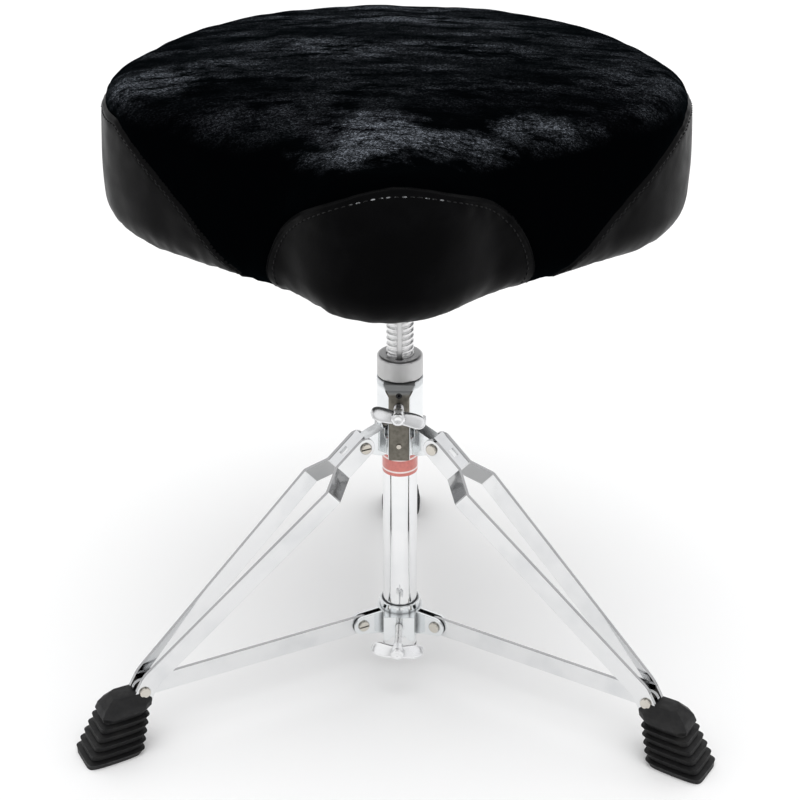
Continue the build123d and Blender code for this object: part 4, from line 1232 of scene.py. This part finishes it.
@dataclass
class Seat:
    """Padded seat: foam, velour top, vinyl side panels, vinyl nose patch and its stitching."""

    shop: Workshop
    form: SeatForm
    skin: float = 1.4
    proud: float = 0.6
    buried: float = 0.5
    stitch_pitch: float = 5.2
    stitch_length: float = 3.4
    stitch_radius: float = 0.5
    stitch_inset: float = 5.4
    stitch_lift: float = 0.25
    nose_reach: float = 104.0
    foam_start: float = 17.0
    foam_sunk: float = 6.0
    board_rise: float = 14.2

    def build(self) -> None:
        """Builds every piece of the seat in order."""
        self.form.simulate()
        form = self.form
        points, _ = form.outline(form.columns)
        beside = (np.abs(points[:, 0]) > self.nose_reach) | (points[:, 1] > 0.0)
        panel = (form.seam(points) > 0.6) & beside
        flank = np.flatnonzero(panel)
        half = form.columns // 2
        left = np.arange(0, flank[flank < half].max() + 1).astype(float)
        right = np.arange(flank[flank > half].min(), form.columns + 1).astype(float)
        nose, rise = form.nose_columns(0.0, 150)
        self.velour()
        arch = form.climb(form.columns_at(nose)[0], rise)
        self.panel("seat_vinyl_nose", nose, arch, "seat_cover_nose", NOSE_VINYL)
        for name, run in (("left", left), ("right", right)):
            seam = form.seam(form.columns_at(run)[0])
            node = f"seat_cover_side_{name}"
            self.panel(f"seat_vinyl_{name}", run, seam, node, FINISHES[Slot.VINYL])
        self.foam()
        self.stitching(left, right)

    def finish_pad(
        self, name: str, surface: Surface, slot: Slot, node: str, finish: Any = None
    ) -> None:
        """Args:
            name: name of the piece.
            surface: its surface before the seat's own turn.
            slot: the record's material slot.
            node: node of the frame that it stands for.
            finish: finish, if not the slot's own.
        """
        placed = self.form.placed(surface)
        piece = self.shop.place(name, placed, slot, Body.SEAT, (node,), finish)

    def velour(self) -> None:
        """Velour cover from the hem, under the vinyl panels, to the middle of the top.

        The outer rows go up from the hem to the crown and the inner rows come back under them.
        """
        form = self.form
        every = np.arange(form.columns, dtype=float)
        points, normals = form.outline(form.columns)
        _, _, end = form.marks(points)
        outer = form.sample(every, end * np.linspace(0.0, 1.0, 84)[:, None])
        rows = 1.0 - np.linspace(0.0, 1.0, 52)[1:-1] ** 0.9
        top, up = form.top_surface(points, normals, rows)
        column = np.broadcast_to(every / form.columns, top.shape[:2])
        depth = np.broadcast_to((2.0 - rows)[:, None], top.shape[:2])
        top = top + form.swelling(column, depth) + up * slow_waves(top)[..., None]
        shell = np.concatenate([outer, top])
        inside = form.sample(every, end * np.linspace(0.0, 1.0, 16)[:, None], self.skin)
        roof, _ = form.top_surface(points, normals, np.linspace(0.95, 0.05, 8))
        roof = roof - up[:1] * self.skin
        surface = grid(np.concatenate([roof[::-1], inside[::-1], shell]))
        self.finish_pad("seat_velour_top", surface, Slot.VELOUR, "seat_cover_top")

    def panel(self, name: str, chosen: Array, seam: Array, node: str, finish: Vinyl) -> None:
        """Vinyl panel over a run of columns, from the hem up to the seam, laid on the velour.

        Args:
            name: name of the piece.
            chosen: its columns, fractional or whole.
            seam: length up the side of its seam at each column.
            node: node of the frame that it stands for.
            finish: its vinyl.
        """
        form = self.form
        up = 1.0 - (1.0 - np.linspace(0.0, 1.0, 60)[:, None]) ** 1.35
        outer = form.sample(chosen, seam * up, -self.proud)
        inner = form.sample(chosen, seam * np.linspace(1.0, 0.0, 12)[:, None], self.buried)
        loop = np.concatenate([outer, inner])
        surface = grid(loop, wrap_rows=True, wrap_columns=False, cap_rows=False, cap_columns=True)
        self.finish_pad(name, surface, Slot.VINYL, node, finish)

    def foam(self) -> None:
        """Foam pad: the same form, a little smaller, above the board."""
        form = self.form
        points, normals = form.outline(form.columns)
        points, normals = points[::4], normals[::4]
        _, _, end = form.marks(points)
        low = form.hem + self.foam_start
        grade = np.linspace(0.0, 1.0, 20)[:, None]
        side, out = form.side_surface(points, normals, low + (end - low) * grade)
        top, up = form.top_surface(points, normals, np.linspace(0.96, 0.05, 16))
        surface = grid(np.concatenate([side - out * self.foam_sunk, top - up * self.foam_sunk]))
        board_top = form.bottom + self.board_rise
        surface.points[:, 2] = np.maximum(surface.points[:, 2], board_top)
        self.finish_pad("seat_foam", surface, Slot.FOAM, "seat_pad")

    def stitching(self, left: Array, right: Array) -> None:
        """Rows of short stitches beside the seams: one small capsule copied along each row.

        A capsule's ring at share t of its length has radius r * sqrt(1 - (2t - 1)^4).

        Args:
            left: columns of the left side panel.
            right: columns of the right side panel.
        """
        form = self.form
        share = np.linspace(0.04, 0.96, 5)
        girth = np.sqrt(1.0 - (2.0 * share - 1.0) ** 4)
        circle = ring(6)
        parts: list[Surface] = []
        nose, rise = form.nose_columns(self.stitch_inset, 160)
        runs = [(nose, form.climb(form.columns_at(nose)[0], rise))]
        for chosen in (left, right):
            line = form.seam(form.columns_at(chosen)[0]) - self.stitch_inset
            runs.append((chosen[line > 30.0], line[line > 30.0]))
        for run, line in runs:
            pair = form.sample(run, np.stack([line - 1.0, line + 1.0]), -self.proud)
            middle, across = pair.mean(axis=0), unit(pair[1] - pair[0])
            along = unit(np.gradient(middle, axis=0))
            out = unit(np.cross(along, across))
            flat = middle[:, :2]
            out *= np.sign(np.sum(out[:, :2] * flat, axis=1) + 80.0 * out[:, 2])[:, None]
            steps = np.linalg.norm(np.diff(middle, axis=0), axis=1)
            travel = np.concatenate([[0.0], np.cumsum(steps)])
            stops = np.arange(self.stitch_pitch, travel[-1], self.stitch_pitch)
            seat_at, line, up = (
                np.stack([np.interp(stops, travel, a[:, k]) for k in range(3)], axis=-1)
                for a in (middle, along, out)
            )
            side = unit(np.cross(line, up))
            reach = (share - 0.5) * self.stitch_length
            arch = -0.35 * (2.0 * share - 1.0) ** 4
            lateral, raised = (
                (self.stitch_radius * girth[:, None] * circle[:, k])[..., None] for k in (0, 1)
            )
            rings = seat_at[:, None, None] + line[:, None, None] * reach[:, None, None]
            rings = rings + up[:, None, None] * raised
            rings = rings + side[:, None, None] * lateral
            rings = rings + up[:, None, None] * (arch + self.stitch_lift)[:, None, None]
            parts += [grid(one) for one in rings]
        surface = form.placed(joined(parts))
        self.shop.place("seat_stitching", surface, Slot.VINYL, Body.SEAT, finish=THREAD)


# ------------------------------------------------------------------ metalwork
def thread_wave(phase: Array) -> Array:
    """Trapezoid wave of a screw thread: 1 on the crest, 0 in the root, with rounded flanks."""
    saw = np.abs(2.0 * (phase - np.floor(phase)) - 1.0)
    return smooth_rise(0.28, 0.66, saw)


def round_grid(radius: Array, angle: Array, z: Array) -> Array:
    """Grid of (r cos a, r sin a, z) for a radius at each height and angle."""
    height = np.broadcast_to(z[:, None], radius.shape)
    return np.stack([radius * np.cos(angle), radius * np.sin(angle), height], axis=-1)


@dataclass
class HeightScrew:
    """Height rod with a trapezoid thread, a keyway down its front and its spigot."""

    shop: Workshop
    radius: float = 11.0
    pitch: float = 5.0
    depth: float = 1.9
    low: float = 160.0
    high: float = 401.5
    key_half: float = 2.4
    key_floor: float = 8.3
    spigot: float = 6.0
    spigot_length: float = 18.0
    lead_cut: float = 2.5

    def build(self) -> None:
        """Radius is the thread's at phase z / pitch - angle / turn, cut flat at the keyway."""
        edge = math.asin(self.key_half / self.radius)
        angle = np.concatenate(
            [np.linspace(edge + 0.002, 2.0 * np.pi - edge - 0.002, 84), np.linspace(-edge, edge, 5)]
        )
        angle = np.sort(np.mod(angle, 2.0 * np.pi)) - np.pi / 2.0
        z = np.linspace(self.low, self.high, 700)
        phase = z[:, None] / self.pitch - angle[None] / (2.0 * np.pi)
        radius = self.radius - self.depth * (1.0 - thread_wave(phase))
        lead = np.minimum(z - self.low, self.high - z)
        cut = np.minimum(lead, self.lead_cut)[:, None]
        radius = np.minimum(radius, self.radius - self.lead_cut + cut)
        off_key = np.abs(np.mod(angle + np.pi / 2.0 + np.pi, 2.0 * np.pi) - np.pi)
        floor = self.key_floor / np.cos(np.minimum(off_key, edge))
        radius = np.where(off_key[None] <= edge + 1e-6, np.minimum(radius, floor[None]), radius)
        body = round_grid(radius, angle, z)
        foot_z = np.array([self.low - self.spigot_length, self.low - 0.01])
        foot = round_grid(np.full((2, len(angle)), self.spigot), angle, foot_z)
        surface = grid(np.concatenate([foot, body]))
        stands_for = ("height_rod",)
        name = "height_rod_threaded"
        piece = self.shop.place(name, surface, Slot.TUBE, Body.SEAT, stands_for, THREADED)
        self.shop.sharpen(piece, 50.0)


@dataclass
class WingScrew:
    """Locking screw along -Y: threaded shank, round hub and a pair of bent wings."""

    shop: Workshop
    name: str
    node: str
    body: Body
    height: float
    tip: float
    wing_y: float
    diameter: float
    bow: float
    twist: float
    pitch: float = 1.25
    span: float = 43.0
    hub_radius: float = 5.7
    tilt: float = 1.05
    hub_length: float = 11.5
    thread_depth: float = 0.55
    tip_cut: float = 0.7

    def build(self) -> None:
        """Joins the shank, the hub and the wings."""
        surface = joined([self.shank(), self.hub(), self.wings()])
        surface.points[:, 2] += self.height
        self.shop.place(self.name, surface, Slot.SMALL, self.body, (self.node,), WING_CHROME)

    def forwards(self, turned_grid: Array) -> Array:
        """Grid about Z laid along -Y: (x, y, z) becomes (x, -z, y)."""
        return np.stack([turned_grid[..., 0], -turned_grid[..., 2], turned_grid[..., 1]], axis=-1)

    def shank(self) -> Surface:
        """Round bar whose radius follows a fine thread: r - d * (1 - wave(y / pitch - turn))."""
        rows = int((self.wing_y - self.tip) / 0.22)
        along = np.linspace(self.tip, self.wing_y + 1.0, rows)
        angle = np.linspace(0.0, 2.0 * np.pi, 28, endpoint=False)
        phase = along[:, None] / self.pitch - angle / (2.0 * np.pi)
        lead = np.clip(along - self.tip, 0.0, 1.0)[:, None]
        cut = self.thread_depth * (1.0 - thread_wave(phase)) + self.tip_cut * (1.0 - lead)
        return grid(self.forwards(round_grid(self.diameter / 2.0 - cut, angle, along)))

    def hub(self) -> Surface:
        """Barrel with rounded rims and a shallow dimple in its face."""
        r, a, b = self.hub_radius, self.wing_y, self.wing_y + self.hub_length
        bend = np.linspace(0.0, np.pi / 2.0, 6)
        back = [(r - 1.4 + 1.4 * math.sin(t), a + 1.4 - 1.4 * math.cos(t)) for t in bend]
        face = [(r - 2.2 + 2.2 * math.cos(t), b - 2.2 + 2.2 * math.sin(t)) for t in bend]
        waist = (r + 0.25, (a + b) / 2.0)
        profile = [(r * 0.5, a), *back, waist, *face, (r * 0.35, b), (r * 0.2, b - 0.5)]
        return grid(self.forwards(lathe(profile, 40)))

    def wings(self) -> Surface:
        """Blade carried along an S: height falls as bow * sin, ends curl back and thicken.

        The section is a superellipse whose depth swells towards the ends and closes at the tips as
        (1 - |t|^6)^(1/2).
        """
        t = np.linspace(-1.0, 1.0, 61)
        half = self.span / 2.0
        x = half * t
        z = -self.bow * np.sin(t * np.pi / 2.0) + 0.35 * self.bow * np.sin(t * np.pi)
        y = -self.wing_y - self.hub_length * 0.55 + self.twist * np.abs(t) ** 2.2
        path = np.stack([x, y, z], axis=-1)
        along = unit(np.gradient(path, axis=0))
        lean = self.tilt + 0.1 * t
        across = np.stack([np.zeros_like(t), np.cos(lean), np.sin(lean)], axis=-1)
        across = unit(across - along * np.sum(across * along, axis=1, keepdims=True))
        over = np.cross(along, across)
        close = np.sqrt(1.0 - np.abs(t * 0.995) ** 6)
        deep = (5.2 + 1.4 * np.abs(t)) * close
        thick = (2.2 - 0.9 * np.abs(t) + 0.9 * np.abs(t) ** 5) * close
        circle = ring(28)
        bulge = np.sign(circle) * np.abs(circle) ** 0.75
        section = bulge[None] * np.stack([deep, thick], axis=-1)[:, None]
        return grid(carried(path, across, over, section))


@dataclass
class RubberFoot:
    """Stepped rubber foot: five rounded ribs that lean and taper, under a chamfered block."""

    shop: Workshop
    leg: str
    body: Body
    azimuth: float
    centre: float = 267.0
    half_length: float = 25.3
    half_width: float = 19.6
    lean: float = 0.37
    taper: float = 0.13
    rib_pitch: float = 7.2
    ribs: int = 5
    groove: float = 2.6
    octagon: float = 1.66
    squareness: float = 8.0
    block: tuple[tuple[float, float], ...] = (
        (0.0, 2.4), (0.8, 2.2), (1.6, 1.8), (4.2, -0.4), (4.8, -0.7), (5.4, -0.8),
        (9.6, -0.8), (10.2, -0.7), (10.8, -0.4), (17.3, 4.0), (17.8, 4.4), (18.0, 5.2),
    )

    def build(self) -> None:
        """Sections of the ribs are superellipses with nearly square corners, the block's octagons.

        Each rib leans out: its inset falls as (1 - share)^0.8 of the groove's depth from its foot
        to its crest, where a narrow slot cuts back under the next rib. Above the ribs the inset
        follows the neck and the block's chamfers.
        """
        foot_end = self.rib_pitch * self.ribs
        share = np.array([0.0, 0.06, 0.14, 0.30, 0.50, 0.64, 0.70, 0.74, 0.77, 0.80, 0.90, 0.99])
        rib = self.groove * (1.0 - share / 0.70).clip(0.0, 1.0) ** 0.8
        rib += (self.groove + 1.6) * smooth_rise(0.71, 0.80, share)
        z_ribs = (np.arange(self.ribs)[:, None] + share[None]).ravel() * self.rib_pitch
        inset_ribs = np.tile(rib, self.ribs)
        block_rise, inset_block = np.array(self.block).T
        z_block = block_rise + foot_end
        z = np.concatenate([z_ribs, z_block])
        inset = np.concatenate([inset_ribs, inset_block])
        corner = ring(160)
        power = np.full((len(z), 1), 2.0 / self.squareness)
        across = np.sign(corner[:, 0]) * np.abs(corner[:, 0]) ** power
        aside = np.sign(corner[:, 1]) * np.abs(corner[:, 1]) ** power
        size = np.abs(corner)
        eight = corner / np.maximum(size.max(axis=1), size.sum(axis=1) / self.octagon)[:, None]
        above = (z > foot_end - 0.01)[:, None]
        across = np.where(above, eight[:, 0], across)
        aside = np.where(above, eight[:, 1], aside)
        length = self.half_length - self.taper * z - inset
        width = self.half_width - self.taper * z - inset
        r = (self.centre - self.lean * z)[:, None] + length[:, None] * across
        lateral = width[:, None] * aside * (1.0 - 0.07 * across**2 + 0.04 * across)
        place = np.stack([r, lateral, np.broadcast_to(z[:, None], r.shape)], axis=-1)
        surface = grid(place).turned(self.azimuth)
        node = f"leg_{self.leg}_rubber_foot"
        piece = self.shop.place(f"{self.leg}_foot_ribbed", surface, Slot.RUBBER, self.body, (node,))
        self.shop.sharpen(piece, 34.0)


# ------------------------------------------------------------------ studio
@dataclass
class Studio:
    """Pale floor, soft lights, a light tent with a few dark strips, and the camera."""

    distance: float = 1335.0
    height: float = 943.5
    heading: float = 2.1
    pitch: float = 27.215
    lens: float = 83.6
    floor_half: float = 6.0
    dome: float = 0.93
    roof: tuple[float, float] = (0.55, 0.80)
    lamps: tuple[tuple[str, tuple[float, float], float, float], ...] = (
        ("key_sun", (10.0, -12.0), 0.56, 40.0),
        ("fill_sun", (26.0, 25.0), 0.35, 50.0),
    )

    def build(self) -> None:
        """Builds the floor, the lamps, the world and the camera."""
        self.floor()
        for lamp in self.lamps:
            self.lamp(*lamp)
        self.world()
        self.camera()

    def floor(self) -> None:
        """One large pale sheet that takes soft shadows; metal mirrors its near part darker."""
        half = self.floor_half
        mesh = bpy.data.meshes.new("floor")
        corners = [(-half, -half, 0), (half, -half, 0), (half, half, 0), (-half, half, 0)]
        mesh.from_pydata(corners, [], [(0, 1, 2, 3)])
        floor = bpy.data.objects.new("floor", mesh)
        bpy.context.scene.collection.objects.link(floor)
        paint = Shader("floor_paper")
        paint.fix(Roughness=0.9, Specular_IOR_Level=0.0)
        pale = paint.blend(paint.noise(3.0, 2.0), (0.93, 0.93, 0.935), (0.95, 0.95, 0.95))
        mirrored = paint.node("LightPath", {})["Is Glossy Ray"]
        far = paint.ranged(paint.axis("Y"), -0.62, -0.42, (0.5, 0.0))
        share = paint.product(mirrored, far)
        paint.link("Base Color", paint.blend(share, pale, (0.10, 0.10, 0.10)))
        mesh.materials.append(paint.material)

    def lamp(self, name: str, aim: tuple[float, float], power: float, spread: float) -> None:
        """Soft sun.

        Args:
            name: name of the lamp.
            aim: degrees from straight down, and degrees round from the camera's side.
            power: strength.
            spread: angle of its disc in degrees.
        """
        data = bpy.data.lights.new(name, "SUN")
        data.energy = power
        data.angle = math.radians(spread)
        lamp = bpy.data.objects.new(name, data)
        lamp.rotation_euler = (math.radians(aim[0]), 0.0, math.radians(aim[1]))
        lamp.visible_glossy = False
        bpy.context.scene.collection.objects.link(lamp)

    def world(self) -> None:
        """Even dome for diffuse light, white backdrop, and a striped tent that metal mirrors."""
        world = bpy.data.worlds.new("studio")
        bpy.context.scene.world = world
        world.use_nodes = True
        tree = world.node_tree
        tree.nodes.clear()
        add, link = tree.nodes.new, tree.links.new
        way = add("ShaderNodeSeparateXYZ")
        link(add("ShaderNodeTexCoord").outputs["Generated"], way.inputs[0])
        bearing = add("ShaderNodeMath")
        bearing.operation = "ARCTAN2"
        link(way.outputs["X"], bearing.inputs[0])
        link(way.outputs["Y"], bearing.inputs[1])
        ramp = add("ShaderNodeValToRGB")
        turn = add("ShaderNodeMapRange")
        turn.inputs[1].default_value, turn.inputs[2].default_value = -math.pi, math.pi
        link(bearing.outputs[0], turn.inputs[0])
        link(turn.outputs[0], ramp.inputs[0])
        self.strips(ramp.color_ramp)
        rise = add("ShaderNodeMapRange")
        rise.inputs[1].default_value, rise.inputs[2].default_value = self.roof
        link(way.outputs["Z"], rise.inputs[0])
        roof = add("ShaderNodeMix")
        roof.data_type = "RGBA"
        link(rise.outputs[0], roof.inputs[0])
        link(ramp.outputs[0], roof.inputs[6])
        roof.inputs[7].default_value = (1.0, 1.0, 1.0, 1.0)
        mirror, plain = add("ShaderNodeBackground"), add("ShaderNodeBackground")
        mix = add("ShaderNodeMixShader")
        rays = add("ShaderNodeLightPath")
        seen_plain = add("ShaderNodeMix")
        seen_plain.data_type = "RGBA"
        link(rays.outputs["Is Camera Ray"], seen_plain.inputs[0])
        link(roof.outputs[2], seen_plain.inputs[6])
        seen_plain.inputs[7].default_value = (1.0, 1.0, 1.0, 1.0)
        link(seen_plain.outputs[2], mirror.inputs[0])
        mirror.inputs[1].default_value = 1.0
        plain.inputs[0].default_value = (1.0, 1.0, 1.0, 1.0)
        plain.inputs[1].default_value = self.dome
        seen = add("ShaderNodeMath")
        seen.operation = "MAXIMUM"
        link(rays.outputs["Is Camera Ray"], seen.inputs[0])
        either = add("ShaderNodeMath")
        either.operation = "MAXIMUM"
        link(rays.outputs["Is Glossy Ray"], either.inputs[0])
        link(rays.outputs["Is Transmission Ray"], either.inputs[1])
        link(either.outputs[0], seen.inputs[1])
        link(seen.outputs[0], mix.inputs[0])
        link(plain.outputs[0], mix.inputs[1])
        link(mirror.outputs[0], mix.inputs[2])
        link(mix.outputs[0], add("ShaderNodeOutputWorld").inputs[0])

    @staticmethod
    def strips(ramp: bpy.types.ColorRamp) -> None:
        """Dark strips of the tent, by bearing: 0 and 1 are behind the camera, 0.5 is ahead."""
        stops = [
            (0.00, 0.50), (0.035, 0.55), (0.055, 0.95), (0.14, 0.98), (0.155, 0.25), (0.175, 0.22),
            (0.19, 0.92), (0.26, 0.95), (0.275, 0.40), (0.295, 0.38), (0.31, 0.95), (0.42, 0.85),
            (0.50, 0.96), (0.58, 0.85), (0.695, 0.95), (0.708, 0.12), (0.728, 0.14), (0.745, 0.95),
            (0.81, 0.92), (0.825, 0.22), (0.845, 0.25), (0.86, 0.98), (0.945, 0.95), (0.965, 0.55),
            (1.00, 0.50),
        ]
        while len(ramp.elements) < len(stops):
            ramp.elements.new(0.5)
        for stop, (place, level) in zip(ramp.elements, stops):
            stop.position = place
            stop.color = (level, level, level * 1.01, 1.0)

    def camera(self) -> None:
        """Camera in front of the nose, a little to the right, looking down at the tripod."""
        data = bpy.data.cameras.new("camera")
        data.lens, data.sensor_width = self.lens, 36.0
        camera = bpy.data.objects.new("camera", data)
        turn = math.radians(self.heading)
        away = self.distance * MM
        camera.location = (away * math.sin(turn), -away * math.cos(turn), self.height * MM)
        camera.rotation_euler = (math.radians(90.0 - self.pitch), 0.0, turn)
        bpy.context.scene.collection.objects.link(camera)
        bpy.context.scene.camera = camera


def main() -> None:
    logging.basicConfig(level=logging.INFO, format="%(name)s: %(message)s")
    bpy.context.scene.view_settings.view_transform = "Standard"
    shop = Workshop()
    shop.dress()
    Seat(shop, SeatForm()).build()
    HeightScrew(shop).build()
    WingScrew(
        shop, "top_wing_screw_bent", "top_wing_screw", Body.TOP_LOCK, height=262.0, tip=11.3,
        wing_y=34.0, diameter=8.0, bow=5.5, twist=-1.0,
    ).build()
    WingScrew(
        shop, "hub_wing_screw_bent", "hub_wing_screw", Body.HUB_LOCK, height=52.5, tip=14.6,
        wing_y=53.0, diameter=6.0, bow=1.5, twist=5.0, pitch=1.0,
    ).build()
    for body in (Body.LEG_LEFT, Body.LEG_RIGHT, Body.LEG_REAR):
        leg = body.value.removeprefix("leg_")
        RubberFoot(shop, leg, body, LEG_ANGLES[leg]).build()
    Studio().build()


if __name__ == "__main__":
    main()
